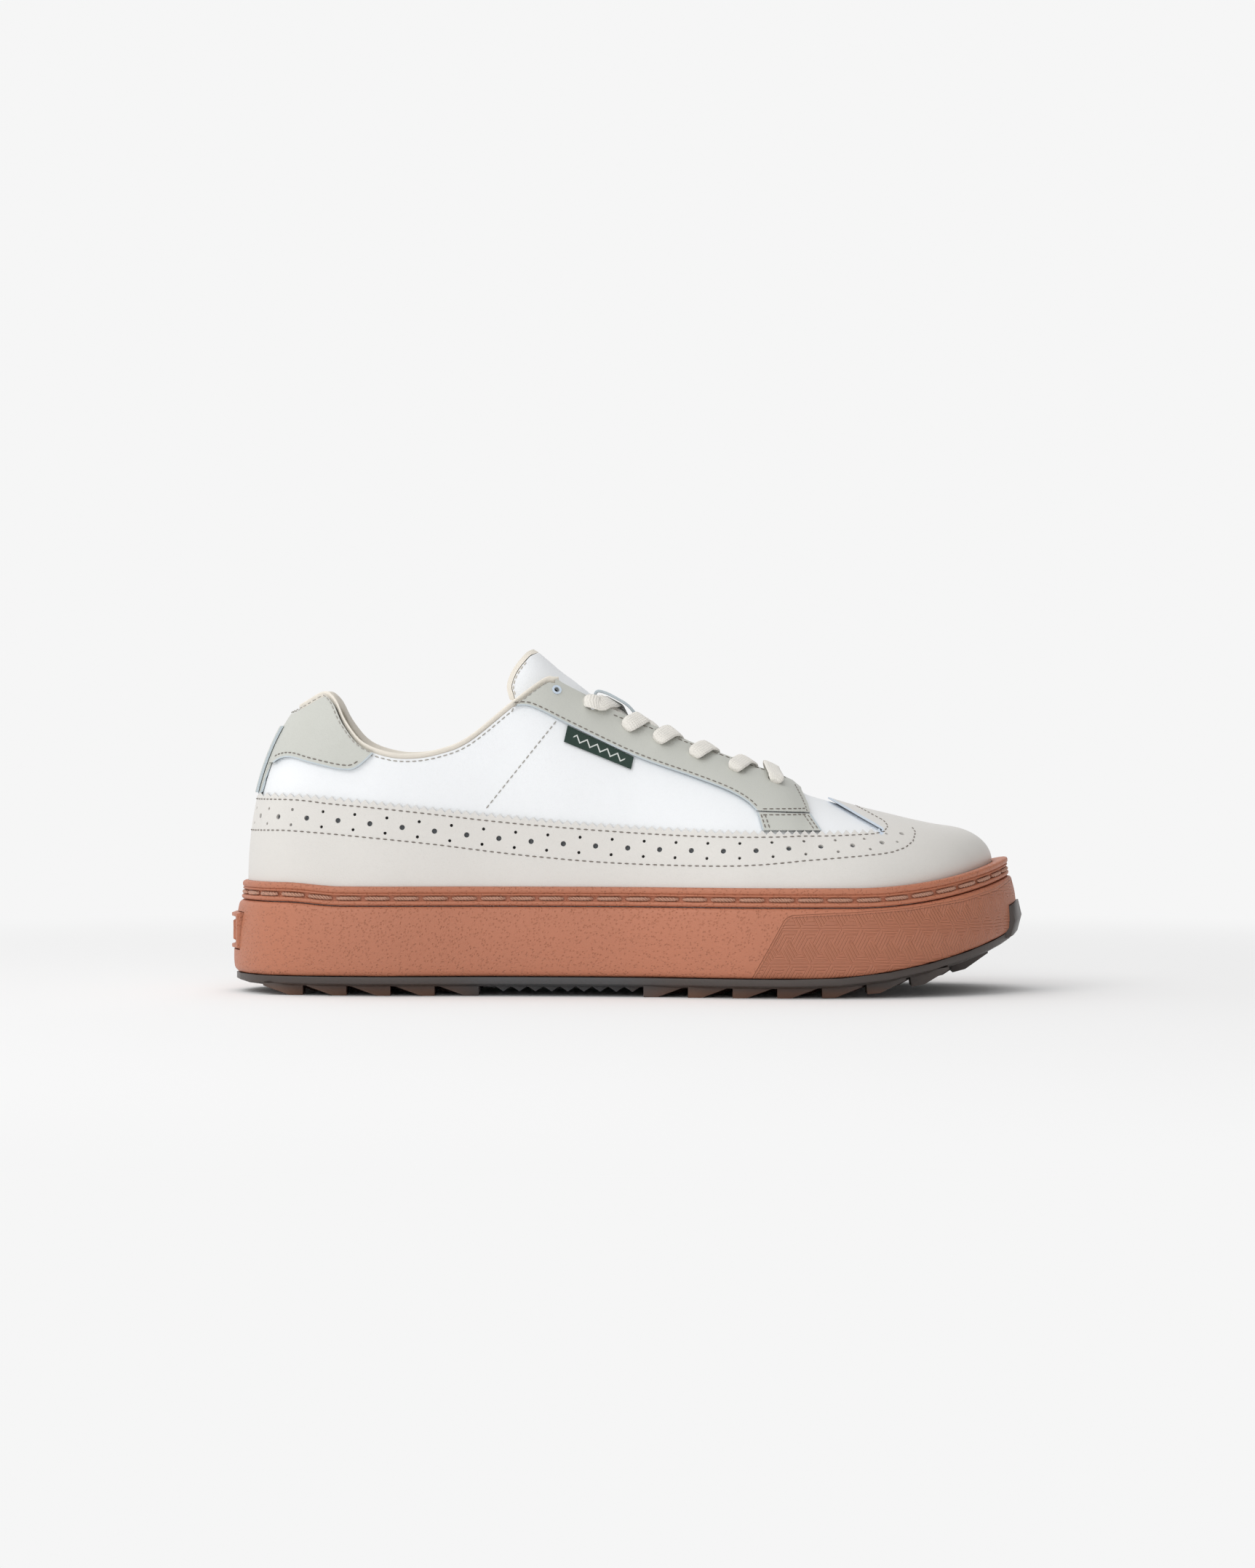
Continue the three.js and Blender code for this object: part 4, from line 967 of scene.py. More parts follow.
def coordinates(obj):
    flat = np.zeros(len(obj.data.vertices) * 3, np.float32)
    obj.data.vertices.foreach_get("co", flat)
    return flat.reshape(-1, 3).astype(float)


def marked(obj, label, values):
    field = obj.data.attributes.new(label, "FLOAT", "POINT")
    field.data.foreach_set("value", np.asarray(values, np.float32))
    return obj


def rimmed(obj, *lines, narrower=()):
    """Marks how near each point lies to the cut edges; each edge may show some millimetres narrower."""
    points = coordinates(obj)
    narrower = [*narrower, *[0.3] * (len(lines) - len(narrower))]
    far = np.minimum.reduce([side_distance(points, line) + less for line, less in zip(lines, narrower)])
    return marked(obj, "cut", np.maximum(0, CUT_REACH - far))


def sole_ring(offset, height, stations):
    x = edge(stations)[:, 0]
    p = edge(stations, offset(x) if callable(offset) else np.full(x.shape, float(offset)))
    return np.stack([p[:, 0], p[:, 1], height(p[:, 0])], 1)


def strip_uv(obj, count):
    """UV map "strip": distance round the shoe and height, both in metres."""
    ring = edge(np.arange(count + 1) / count)
    around = lengths(ring) * 0.001
    points = coordinates(obj)
    layer_uv = obj.data.uv_layers.new(name="strip")
    for face in obj.data.polygons:
        ids = [obj.data.loops[k].vertex_index for k in face.loop_indices]
        stations = [i % count for i in ids]
        wrap = max(stations) - min(stations) > count // 2
        for k, i, station in zip(face.loop_indices, ids, stations):
            station = count if wrap and station < count // 2 else station
            layer_uv.data[k].uv = (around[station], points[i, 2])
    return obj


def outsole():
    obj = rounded(kept_copy("outsole", "outsole_lugs"), 0.55, 2, 40)
    return finished(obj, "root", DARK, ["outsole"], 50)


PANEL_EDGE = [[44.5, -42], [47.1, -33.4], [54.4, -20.2], [59.2, -11.5], [61.7, -10.4], [84.8, -9.4],
              [105.9, -8], [126.8, -5.2], [140.7, -1.7], [147.2, 1.7], [156, 5]]
CUP_PROFILE = [[0, -1.9], [0.03, -0.9], [0.08, -0.25], [0.25, 0], [0.6, -0.5], [0.9, -1.8],
               [0.97, -2.4], [1, -3.4]]


def hoop(name, inner, outer, low, high, stations):
    """A band all round the shoe, between two offsets of its outline and two height lines."""
    return lofted(name, [sole_ring(inner, low, stations), sole_ring(outer, low, stations),
                         sole_ring(outer, high, stations), sole_ring(inner, high, stations)], closed=True)


def bumper_hoop(outward, extra, stations):
    return hoop("bumper", -BUMPER_DEPTH - extra, outward, lambda x: sole_line(x) - 2 - extra,
                lambda x: sole_line(x) + BUMPER_TOP + extra, stations)


def cupsole():
    count = 480
    stations = np.arange(count) / count
    foot = lambda x: sole_line(x) + GAP / 2
    lip = lambda x: welt_line(x) - WELT_HEIGHT - GAP
    shares = np.concatenate([np.linspace(*span) for span in ((0, 0.1, 5), (0.13, 0.9, 28), (0.92, 1, 6))])
    rings = [sole_ring(float(through(CUP_PROFILE, s)), lambda x, s=s: foot(x) + s * (lip(x) - foot(x)),
                       stations) for s in shares]
    wall = lambda x: GAP - inset(x)
    rings += [sole_ring(wall, lip, stations), sole_ring(wall, lambda x: sole_line(x) + CUP_FLOOR, stations)]
    obj = strip_uv(lofted("cupsole_wall", rings), count)
    points = coordinates(obj)
    far = side_distance(points, PANEL_EDGE)
    line = np.array(PANEL_EDGE)
    limit = np.interp(points[:, 0] * 1000, line[:, 0], line[:, 1], left=-99)
    below = points[:, 2] * 1000 - SOLE_HEIGHT < limit
    marked(obj, "panel", np.where(below, far, -far))
    toe_y = float(edge(0.5)[1])
    half = BUMPER_HALF_WIDTH + GAP
    front = cuboid(76, FAR, toe_y - half, toe_y + half, -1, 83)
    bumper = carved(bumper_hoop(6.5, GAP, stations[::2]), [front], "INTERSECT")
    badge = badge_block(GAP)
    carved(obj, [bumper, badge])
    return finished(obj, "root", GUM, ["cupsole"], 40)


def badge_block(extra):
    stations = np.arange(240) / 240
    ring = hoop("badge_hoop", -BADGE_DEPTH - extra, 4, lambda x: 0 * x + BADGE_BOTTOM - extra,
                lambda x: 0 * x + BADGE_TOP + extra, stations)
    half = BADGE_HALF_WIDTH + extra
    return carved(ring, [cuboid(-FAR, -76, -half, half, 0, SOLE_HEIGHT)], "INTERSECT")


def plate(name, front, back):
    """A closed plate between two equal grids of points."""
    rows, columns, _ = front.shape
    points = np.concatenate([front.reshape(-1, 3), back.reshape(-1, 3)])
    index = np.arange(rows * columns).reshape(rows, columns)
    faces = []
    for r in range(rows - 1):
        for c in range(columns - 1):
            loop = [index[r, c], index[r, c + 1], index[r + 1, c + 1], index[r + 1, c]]
            faces += [loop, [rows * columns + i for i in loop[::-1]]]
    border = [*index[0, :-1], *index[:-1, -1], *index[-1, :0:-1], *index[:0:-1, 0]]
    for a, b in zip(border, border[1:] + border[:1]):
        faces.append([b, a, a + rows * columns, b + rows * columns])
    return outwards(mesh_object(name, placed(points), faces))


def heel_badge():
    """A raised frame round plain slanted bars."""
    ring = edge(np.linspace(-0.06, 0.06, 400))
    reach = np.interp([-BADGE_HALF_WIDTH, BADGE_HALF_WIDTH], -ring[:, 1], np.linspace(-0.06, 0.06, 400))
    stations = np.linspace(*reach, 110)
    heights = np.linspace(BADGE_BOTTOM, BADGE_TOP, 56)
    u, z = np.meshgrid(stations, heights)
    across = np.linspace(-BADGE_HALF_WIDTH, BADGE_HALF_WIDTH, 110)[None, :] * np.ones_like(z)
    margin = np.minimum(BADGE_HALF_WIDTH - np.abs(across), (BADGE_TOP - BADGE_BOTTOM) / 2 - np.abs(
        z - (BADGE_TOP + BADGE_BOTTOM) / 2))
    border = ease((margin + 0.05) / 0.6) * (1 - ease((margin - 1.5) / 0.5))
    slanted = (across + 0.6 * (z - BADGE_BOTTOM)) / 3.6
    bars = ease(1.3 - np.abs(slanted % 1 - 0.5) * 6) * ease((margin - 3.0) / 0.5)
    offset = -0.6 + 1.4 * border + 0.9 * bars
    front = edge(u, offset)
    back = edge(u, np.full(u.shape, -BADGE_DEPTH))
    grids = [np.concatenate([p, z[..., None]], -1) for p in (front, back)]
    return finished(plate("heel_badge_relief", *grids), "root", GUM, ["heel_badge"], 60)


WELT_PROFILE = [[-5.4, 0.0], [-4.3, 0.12], [-3.7, 0.5], [-3.4, 1.1], [-3.4, 1.9], [-3.6, 2.3],
                [-4.0, 2.5], [-3.65, 2.75], [-3.5, 3.1], [-3.75, 3.4], [-4.7, 3.5], [-4.9, 4.4],
                [-4.7, 5.35], [-3.6, 5.45], [-3.1, 5.8], [-3.0, 6.3], [-3.15, 6.8], [-3.7, 7.2]]


def welt():
    stations = np.arange(480) / 480
    inner = lambda x: -inset(x) + LEATHER + 2 * GAP
    rings = [sole_ring(inner, lambda x: welt_line(x) - 0.15, stations)]
    for offset, drop in WELT_PROFILE:
        rings.append(sole_ring(offset, lambda x, d=drop: welt_line(x) - d, stations))
    rings.append(sole_ring(inner, lambda x: welt_line(x) - WELT_HEIGHT, stations))
    obj = strip_uv(lofted("welt_band", rings, closed=True), 480)
    marked(obj, "panel", np.full(len(obj.data.vertices), -9.0))
    return finished(obj, "root", GUM, ["welt"], 60)


def welt_stitches():
    stations = np.arange(720) / 720
    ring = sole_ring(-4.55, lambda x: welt_line(x) - GROOVE_DROP, stations)
    out = edge(stations, 1.0) - edge(stations, 0.0)
    up = np.concatenate([out, np.zeros((720, 1))], 1)
    at, run, rise = spaced(ring, up, WELT_STITCH_PITCH, closed=True)
    sizes = {"Half length": 0.0045, "Strand": 0.00042, "Rise": 0.0008}
    tree = rows_of_parts("saddle_stitches", WELT_THREAD, twisted_stitch, sizes)
    obj = grown("welt_stitches", at, run, rise, tree, sizes)
    return finished(obj, "root", WELT_THREAD, ["welt_thread"], 70)


def sockliner():
    stations = np.arange(240) / 240
    inside = lambda x: -inset(x) - lining_depth(x) - LINING - 2 * GAP
    bottom = lambda x: welt_line(x) - UPPER_TUCK + 1.6 + GAP
    profile = [(0, 0), (0, 3.0), (-0.6, 3.8), (-2.2, 4.0), (-5, 3.5), (-12, 3.1), (-20, 3.0)]
    rings = [sole_ring(lambda x, a=a: inside(x) + a, lambda x, b=b: bottom(x) + b, stations)
             for a, b in profile]
    return finished(lofted("sock", rings), "root", SOCK, ["sockliner"], 50)


# Upper

def tower(outline_xy):
    """A tall block with a plan outline."""
    flat = np.array(outline_xy, float)
    count = len(flat)
    points = [[x, y, z] for z in (0, TALL) for x, y in flat]
    i = np.arange(count)
    walls = np.stack([i, (i + 1) % count, count + (i + 1) % count, count + i], 1)
    return outwards(mesh_object("tower", placed(points), [*walls, list(i), list(count + i[::-1])]))


def throat_half(x):
    return through(THROAT, x)


def throat_block():
    xs = np.linspace(-60, 63.5, 60)
    half, middle = throat_half(xs), spine_y(xs)
    return tower([*zip(xs, middle - half), *zip(xs[::-1], (middle + half)[::-1])])


def below_collar(distance):
    line = lowered(TOPLINE, distance)
    return [[-152, -40], *line[1:], [line[-1][0] + 4, line[-1][1] + 30], [160, 110], [160, -40]]


def ahead_of_vamp(offset):
    (a, low), (b, middle), (c, _) = VAMP_LINE
    return [[a + offset, low], [b + offset, middle], [c + offset, 140], [160, 140], [160, low]]


def behind_vamp(offset):
    (a, low), (b, middle), (c, _) = VAMP_LINE
    return [[-160, low], [-160, 140], [c - offset, 140], [b - offset, middle], [a - offset, low]]


PUNCH = rows_of_parts("punches", RAW, pin, {"Radius": 0.00085, "Depth": 0.008})


def punches(name, at, up, radius, depth=0.008):
    run = np.tile([1.0, 0.02, 0.03], (len(at), 1))
    obj = grown(name, at, run, up, PUNCH, {"Radius": radius * 0.001, "Depth": depth})
    return outwards(obj)


def eyelet_places(side):
    line = np.array(EYELETS)
    u, t = on_side(line[:, 0], line[:, 1], side)
    return skin(u, t), skin_up(u, t), u, t


EYELET_SIDES = {side: eyelet_places(side) for side in (-1, 1)}


def eyelet_punches():
    tools = []
    for at, up, _, _ in EYELET_SIDES.values():
        tools.append(punches("free_holes", at[:1], up[:1], FREE_EYELET_RADIUS))
        tools.append(punches("laced_holes", at[1:], up[1:], EYELET_RADIUS))
    return tools


COLLAR = block(below_collar(BINDING_WIDTH + GAP))
BEHIND = block(behind_vamp(GAP / 2))
AHEAD = block(ahead_of_vamp(GAP / 2))
THROAT_BLOCK = throat_block()
EYELET_TOOLS = eyelet_punches()
HALVES = {-1: cuboid(-FAR, FAR, -FAR, -GAP / 2, 0, TALL), 1: cuboid(-FAR, FAR, GAP / 2, FAR, 0, TALL)}


def panel(name, body, inside, outside=()):
    """The part of a layer that lies inside some blocks and outside others."""
    if inside:
        carved(body, inside, "INTERSECT")
    if outside:
        carved(body, outside)
    return named(body, name)


def quarters():
    for side, node in ((-1, "quarter_lateral"), (1, "quarter_medial")):
        obj = panel(node + "_leather", layer("quarter", -LEATHER, 0), [COLLAR, BEHIND, HALVES[side]],
                    [THROAT_BLOCK, *EYELET_TOOLS])
        finished(obj, "root", WHITE, [node])


def vamp():
    obj = panel("vamp_leather", layer("vamp", -LEATHER, 0), [AHEAD], [THROAT_BLOCK, *EYELET_TOOLS])
    finished(obj, "root", WHITE, ["vamp"])


def linings():
    deep, shallow = (lambda x: -lining_depth(x) - LINING), (lambda x: -lining_depth(x))
    heel_cut = [[-160, -40], [-160, 120], [-84, 120], [-84, 40], [-78, -40]]
    side_cut = [[x if k < 2 else x + GAP, y] for k, (x, y) in enumerate(heel_cut)]
    obj = panel("vamp_lining_cloth", layer("lining", deep, shallow), [AHEAD], [THROAT_BLOCK, *EYELET_TOOLS])
    finished(obj, "root", CLOTH, ["vamp_lining"])
    heel = block(heel_cut)
    obj = panel("heel_lining_cloth", layer("lining", deep, shallow), [COLLAR, heel])
    finished(obj, "root", CLOTH, ["heel_lining"])
    rest = block(side_cut)
    for side, node in ((-1, "quarter_lining_lateral"), (1, "quarter_lining_medial")):
        obj = panel(node + "_cloth", layer("lining", deep, shallow), [COLLAR, BEHIND, HALVES[side]],
                    [rest, THROAT_BLOCK, *EYELET_TOOLS])
        finished(obj, "root", CLOTH, [node])
    away_with(heel, rest)


def station_at(x, side):
    """The station round the shoe where the outline passes x."""
    u = np.linspace(0, 0.5, 2001) if side < 0 else np.linspace(1, 0.5, 2001)
    return float(np.interp(x, edge(u)[:, 0], u))


TOE_EDGE = [[96.0, 20.2], [96.4, 21.4], [88, 26.2], [77.6, 32.4]]
WING_TEETH = pinked(WING_EDGE, -151, 95.5)
TOE_SEAMS = {"upper": [[92.6, 18.8], [96.6, 19.5], [98.6, 21.3], [97.2, 23.2], [88, 28.2]],
             "lower": [[104.2, 13.9], [107.4, 16.1], [108.8, 19.1], [107.8, 20.8]],
             "holes": [[98, 16.1], [104.6, 19.1], [104.4, 20.6]]}


def around_heel(line, depth, last, extra):
    """A height line from one side of the toe round the heel to the other, with its turn over the toe."""
    start, end = station_at(last, 1) - 1, station_at(last, -1)
    u = np.linspace(start, end, 900)
    t = on_line(u, line)
    p = fine(extra)
    (far_u, far_t), (near_u, near_t) = (on_side(p[:, 0], p[:, 1], side) for side in (1, -1))
    us = np.concatenate([far_u[::-1], u, near_u])
    ts = np.concatenate([far_t[::-1], t, near_t])
    return skin(us, ts, depth), skin_up(us, ts)


LARGE_HOLE, SMALL_HOLE = 1.0, 0.6


def wing():
    outline = [[-160, -40], *WING_TEETH, *TOE_EDGE, [77.6, 60], [160, 60], [160, -40]]
    shape = block(outline)
    slot = cuboid(-FAR, -76, -1.2, 1.2, 0, TALL)
    line, up = around_heel(PERFORATIONS, (GAP + LEATHER) / 2, 97, TOE_SEAMS["holes"])
    at, run, rise = spaced(line, up, PUNCH_PITCH)
    away = np.abs(at[:, 1]) > 4
    big = punches("large_punches", at[away], rise[away], LARGE_HOLE, 0.0034)
    # Discs under the holes, painted dark grey and near black, are painted shade standing for the shade inside
    # the punched holes
    shade_discs = [(at[away] - rise[away] * 0.5, rise[away], LARGE_HOLE, LARGE_HOLE_SHADE)]
    middle = (at[1:] + at[:-1]) / 2
    mid_up, mid_run = (rise[1:] + rise[:-1]) / 2, (run[1:] + run[:-1]) / 2
    across = np.cross(mid_up, mid_run)
    across /= np.linalg.norm(across, axis=1, keepdims=True)
    pairs = np.concatenate([middle + across * PAIR_HALF_WIDTH, middle - across * PAIR_HALF_WIDTH])
    pair_up = np.concatenate([mid_up, mid_up])
    away = np.abs(pairs[:, 1]) > 3
    small = punches("small_punches", pairs[away], pair_up[away], SMALL_HOLE, 0.0034)
    shade_discs.append((pairs[away] - pair_up[away] * 0.45, pair_up[away], SMALL_HOLE, SMALL_HOLE_SHADE))
    obj = panel("wing_leather", layer("wing", GAP, GAP + LEATHER, WING_TUCK), [shape], [slot, big, small])
    rimmed(obj, WING_TEETH, TOE_EDGE, narrower=(1.0, 0))
    away_with(shape, slot, big, small)
    finished(obj, "root", GREY, ["wing_overlay"])
    # The painted-shade discs under the large and small holes
    for name, (places, up, radius, finish) in zip(("large_hole_shade_discs", "small_hole_shade_discs"), shade_discs):
        finished(punches(name, places, up, radius - 0.03, 0.0003), "root", finish)


WASHER_RADIUS = 1.85    # raw ring round the free eyelet


def eyestay():
    collar = [p for p in lowered(TOPLINE, BINDING_WIDTH + GAP) if -43.5 < p[0] < -28][::-1]
    shape = block([*EYESTAY_EDGE, *EYESTAY_FRONT, [66.8, 130], [-27, 130], [-27.5, 79], *collar])
    obj = panel("eyestay_leather", layer("eyestay", GAP, GAP + LEATHER), [shape, COLLAR],
                [THROAT_BLOCK, *EYELET_TOOLS])
    free_hole = np.array(EYELETS[0]) + 0.75 * FREE_EYELET_RADIUS * np.array(
        [[math.cos(a), math.sin(a)] for a in np.linspace(0, math.tau, 13)])
    rimmed(obj, EYESTAY_EDGE, free_hole)
    away_with(shape)
    finished(obj, "root", SAGE, ["eyestay"])
    top = GAP + LEATHER
    for side, (at, up, _, _) in EYELET_SIDES.items():
        name = "lateral" if side < 0 else "medial"
        at, up = at[:1], up[:1]
        ring = punches("free_eyelet_ring_" + name, at + up * (top + 0.1), up, WASHER_RADIUS, 0.0003)
        finished(carved(ring, EYELET_TOOLS), "root", RAW)
        # A near-black disc under the free hole is painted shade for the shade inside it
        dark = punches("free_hole_shade_disc_" + name, at - up * 0.4, up, FREE_EYELET_RADIUS - 0.03, 0.0004)
        finished(dark, "root", SMALL_HOLE_SHADE)
    leg = block(LEG)
    for side, node in ((-1, "eyestay_leg_lateral"), (1, "eyestay_leg_medial")):
        obj = panel(node + "_leather", layer("leg", GAP, GAP + LEATHER), [leg, HALVES[side]])
        rimmed(obj, LEG[:2], LEG[2:])
        finished(obj, "root", SAGE, [node])
    away_with(leg)


def heel_tab():
    top = [p for p in lowered(TOPLINE, BINDING_WIDTH + GAP) if -152 < p[0] < -96][::-1]
    shape = block([*TAB_EDGE, *top, [-152, 60]])
    tail = block([[-152, 34], [-152, 46.6], [-134, 46.6], [-134, 34]])
    centre = cuboid(-FAR, FAR, -BACKSTAY_HALF_WIDTH, BACKSTAY_HALF_WIDTH, 0, TALL)
    carved(tail, [centre])
    obj = panel("heel_tab_leather", layer("tab", GAP, GAP + LEATHER), [shape, COLLAR], [tail])
    rimmed(obj, TAB_EDGE)
    away_with(shape, tail, centre)
    finished(obj, "root", SAGE, ["heel_tab"])
    half = BACKSTAY_HALF_WIDTH - 1
    strip = block([[-160, 35], [-160, 60.5], [-120, 60.5], [-120, 35]], -half, half)
    base = 2 * GAP + LEATHER
    obj = panel("backstay_leather", layer("backstay", base, base + BACKSTAY_THICKNESS), [strip])
    from_middle = np.abs(coordinates(obj)[:, 1] * 1000 - SHIFT_Y)
    marked(obj, "cut", np.maximum(0, CUT_REACH - half + from_middle - 0.3))
    away_with(strip)
    finished(obj, "root", SAGE, ["backstay_strip"])


def topline_binding():
    """A strip rolled over the collar's edge, from the leather outside to the lining inside."""
    start, end = station_at(-26.5, 1) - 1, station_at(-26.5, -1)
    u = np.linspace(start, end, 520)
    t = on_line(u, lowered(TOPLINE, 0.9))
    inner = -lining_depth(edge(u)[:, 0]) - LINING - 0.1
    outer = np.full(u.shape, 0.85)
    rows = []
    dt = 0.9 / np.linalg.norm(skin(u, t + 0.005) - skin(u, t - 0.005), axis=1) * 0.01
    angles = np.linspace(-0.5, 1.5, 21)[:-1] * math.pi
    middle, half = (inner + outer) / 2, (outer - inner) / 2
    for a in angles:
        c, s = math.cos(a), math.sin(a)
        squared = (abs(c) ** 0.55 * math.copysign(1, c), abs(s) ** 0.8 * math.copysign(1, s))
        rows.append(skin(u, t + dt * squared[1], middle + half * squared[0]))
    rings = np.array(rows)
    count, length, _ = rings.shape
    index = np.arange(count * length).reshape(count, length)
    faces = [[index[r, c], index[(r + 1) % count, c], index[(r + 1) % count, c + 1], index[r, c + 1]]
             for r in range(count) for c in range(length - 1)]
    faces += [list(index[:, 0]), list(index[::-1, -1])]
    obj = outwards(mesh_object("binding_roll", placed(rings.reshape(-1, 3)), faces))
    finished(obj, "root", TAPE, ["topline_binding"], 60)


def tongue_block(inset_by):
    rear = lowered(TONGUE_REAR, -inset_by)
    side = [[x, y + inset_by] for x, y in TONGUE_SIDE[1:]]
    return block([*rear, *side, [70.5 - inset_by, 130], [-20, 130]])


def tongue():
    face = TONGUE_DEPTH + LEATHER
    foam = face + GAP + TONGUE_FOAM
    cover = tongue_block(BINDING_WIDTH + GAP)
    core = tongue_block(BINDING_WIDTH)
    rear = block([[-60, 66], [-60, 110], [-27, 110], [-36, 66]])
    obj = panel("tongue_leather", layer("tongue", -face, -TONGUE_DEPTH), [cover])
    finished(obj, "tongue", WHITE, ["tongue"])
    obj = panel("tongue_lining_cloth", layer("tongue", -foam - GAP - LINING, -foam - GAP), [cover])
    finished(obj, "tongue", CLOTH, ["tongue_lining"])
    edge_strip = carved(tongue_block(0), [core])
    roll = layer("tongue", -foam - GAP - LINING, -TONGUE_DEPTH)
    obj = panel("tongue_binding_roll", roll, [edge_strip, rear])
    finished(obj, "tongue", TAPE, ["tongue_binding"])
    away_with(cover, core, rear, edge_strip)


# Lace, keeper and label

UNDER_DEPTH, OVER_DEPTH = -3.7, 2.75
STRAND_DEPTH = {-1: -4.0, 1: -2.4}
TAIL = [[0.004, 0.66], [0.008, 0.5], [0.014, 0.32], [0.024, 0.12], [0.045, -0.1], [0.08, -0.32],
        [0.12, -0.42], [0.16, -0.45], [0.2, -0.45]]     # the end beside the tongue: station, height


def over_throat(x, y):
    """Station and height of the upper over a place of the throat."""
    side = -1 if y < spine_y(x) else 1
    u = station_at(x, side)
    base = edge(np.array(u), -inset(x))[1]
    reach = min(1, max(0, (y - spine_y(x)) / (base - spine_y(x))))
    return u, math.acos(reach ** (float(through(FULLNESS, x)) / 2)) * 2 / math.pi


def stop_at(u, t, depth, width):
    return skin(u, t, depth), skin_up(np.array(u), np.array(min(t, 0.9))), width


def over_stop(x, y, depth, width):
    return stop_at(*over_throat(x, y), depth, width)


def through_eyelet(side, index, before):
    """On past the eyelet the way the lace came, round and down through the hole."""
    _, _, us, ts = EYELET_SIDES[side]
    u, t = us[index], ts[index]
    centre, up = skin(u, t), skin_up(u, t)
    away = centre - before
    away = away - up * (away @ up)
    away /= np.linalg.norm(away)

    def at(out, depth, width):
        return centre + away * out + up * depth, up, width

    return [at(-2.6, OVER_DEPTH + 0.35, LACE_WIDTH), at(-0.6, OVER_DEPTH + 0.7, LACE_WIDTH),
            at(1.5, OVER_DEPTH + 0.35, LACE_WIDTH * 0.92), at(2.5, OVER_DEPTH - 0.6, LACE_WIDTH * 0.72),
            at(1.5, 1.2, 3.4), at(0.2, -0.6, 2.8), at(0, -2.3, 2.6), at(-0.8, UNDER_DEPTH - 0.1, 2.6)]


def crossing(side, index, depth):
    """From one row's eyelet under the edge, over the tongue to the other side's next eyelet up."""
    start, end = EYELETS[index][0], EYELETS[index - 1][0]
    xs = lambda share: start + (end - start) * share

    def edge_y(share, beyond, sign):
        return spine_y(xs(share)) + sign * (throat_half(xs(share)) + beyond)

    def inner_y(share, part):
        return spine_y(xs(share)) + side * throat_half(xs(share)) * part

    plan = [(0.06, edge_y(0.06, 0.6, side), UNDER_DEPTH - 0.1, 3.4),
            (0.12, edge_y(0.12, -2.5, side), UNDER_DEPTH, LACE_WIDTH * 0.8)]
    plan += [(share, inner_y(share, part), deep, LACE_WIDTH) for share, part, deep in (
        (0.2, 0.56, UNDER_DEPTH * 0.8 + depth * 0.2), (0.27, 0.28, UNDER_DEPTH * 0.4 + depth * 0.6),
        (0.35, 0, depth), (0.42, -0.28, depth + 0.3), (0.48, -0.55, depth + 1.3))]
    plan += [(share, edge_y(share, beyond, -side), deep, LACE_WIDTH) for share, beyond, deep in (
        (0.54, -3, 1.3), (0.62, -0.6, OVER_DEPTH + 0.1), (0.74, 1.2, OVER_DEPTH + 0.4))]
    return [over_stop(xs(share), across, deep, wide) for share, across, deep, wide in plan]


def lace_half(side):
    last = len(EYELETS) - 1
    bar = EYELETS[last][0]
    stops = [over_stop(bar, spine_y(bar) + side * part, OVER_DEPTH, LACE_WIDTH)
             for part in (2.5, throat_half(bar) * 0.75)]
    now = side
    for index in range(last, 1, -1):
        stops += [*through_eyelet(now, index, stops[-1][0]), *crossing(now, index, STRAND_DEPTH[side])]
        now = -now
    stops += through_eyelet(now, 1, stops[-1][0])[:7]
    h = EYELET_SIDES[now][2][1]
    for ahead, t in TAIL:
        stops.append(stop_at(h + ahead / 2 * (1 if now < 0 else -1), t, UNDER_DEPTH, 2.6))
    return stops


def ribbon(name, stops):
    """A woven flat strip through the stops, rounded where it bunches."""
    points = np.array([s[0] for s in stops])
    ups = np.array([s[1] for s in stops])
    widths = np.array([s[2] for s in stops], float)
    curve, up, width = [], [], []
    padded = np.vstack([2 * points[0] - points[1], points, 2 * points[-1] - points[-2]])
    for k in range(len(points) - 1):
        a, b, c, d = padded[k:k + 4]
        steps = max(2, int(np.linalg.norm(c - b) / 1.1))
        for s in np.arange(steps) / steps:
            curve.append(bend(a, b, c, d, s))
            w = float(ease(np.array(s)))
            up.append(ups[k] * (1 - w) + ups[k + 1] * w)
            width.append(widths[k] * (1 - w) + widths[k + 1] * w)
    curve, up, width = np.array(curve), np.array(up), np.array(width)
    tangent = np.gradient(curve, axis=0)
    tangent /= np.linalg.norm(tangent, axis=1, keepdims=True)
    across = np.zeros_like(curve)
    now = np.array([1.0, 0, 0])
    for k in range(len(curve)):
        flat = np.cross(up[k], tangent[k])
        if np.linalg.norm(flat) > 0.5:
            flat /= np.linalg.norm(flat)
            now = now * 0.3 + flat * math.copysign(1, flat @ now) * 0.7
        now = now - tangent[k] * (now @ tangent[k])
        now /= np.linalg.norm(now)
        across[k] = now
    over = np.cross(tangent, across)
    section = 14
    rings, uvs = [], []
    along = lengths(curve) * 0.001
    for k in range(len(curve)):
        bunch = np.clip((LACE_WIDTH - width[k]) / (LACE_WIDTH - LACE_ROUND), 0, 1)
        for j in range(section):
            a = math.tau * j / section
            c, s = math.cos(a), math.sin(a)
            flat = abs(s) ** (0.45 + 0.5 * bunch) * math.copysign(1, s)
            rings.append(curve[k] + across[k] * c * width[k] / 2
                         + over[k] * flat * LACE_THICKNESS / 2 * (1 + 0.7 * bunch))
            uvs.append((along[k], c / 2))
    faces = []
    for k in range(len(curve) - 1):
        for j in range(section):
            n = (j + 1) % section
            faces.append([k * section + j, k * section + n, (k + 1) * section + n, (k + 1) * section + j])
    faces += [list(range(section))[::-1], list(range((len(curve) - 1) * section, len(curve) * section))]
    obj = outwards(mesh_object(name, placed(rings), faces))
    strip = obj.data.uv_layers.new(name="strip")
    for loop in obj.data.loops:
        strip.data[loop.index].uv = uvs[loop.vertex_index]
    return obj


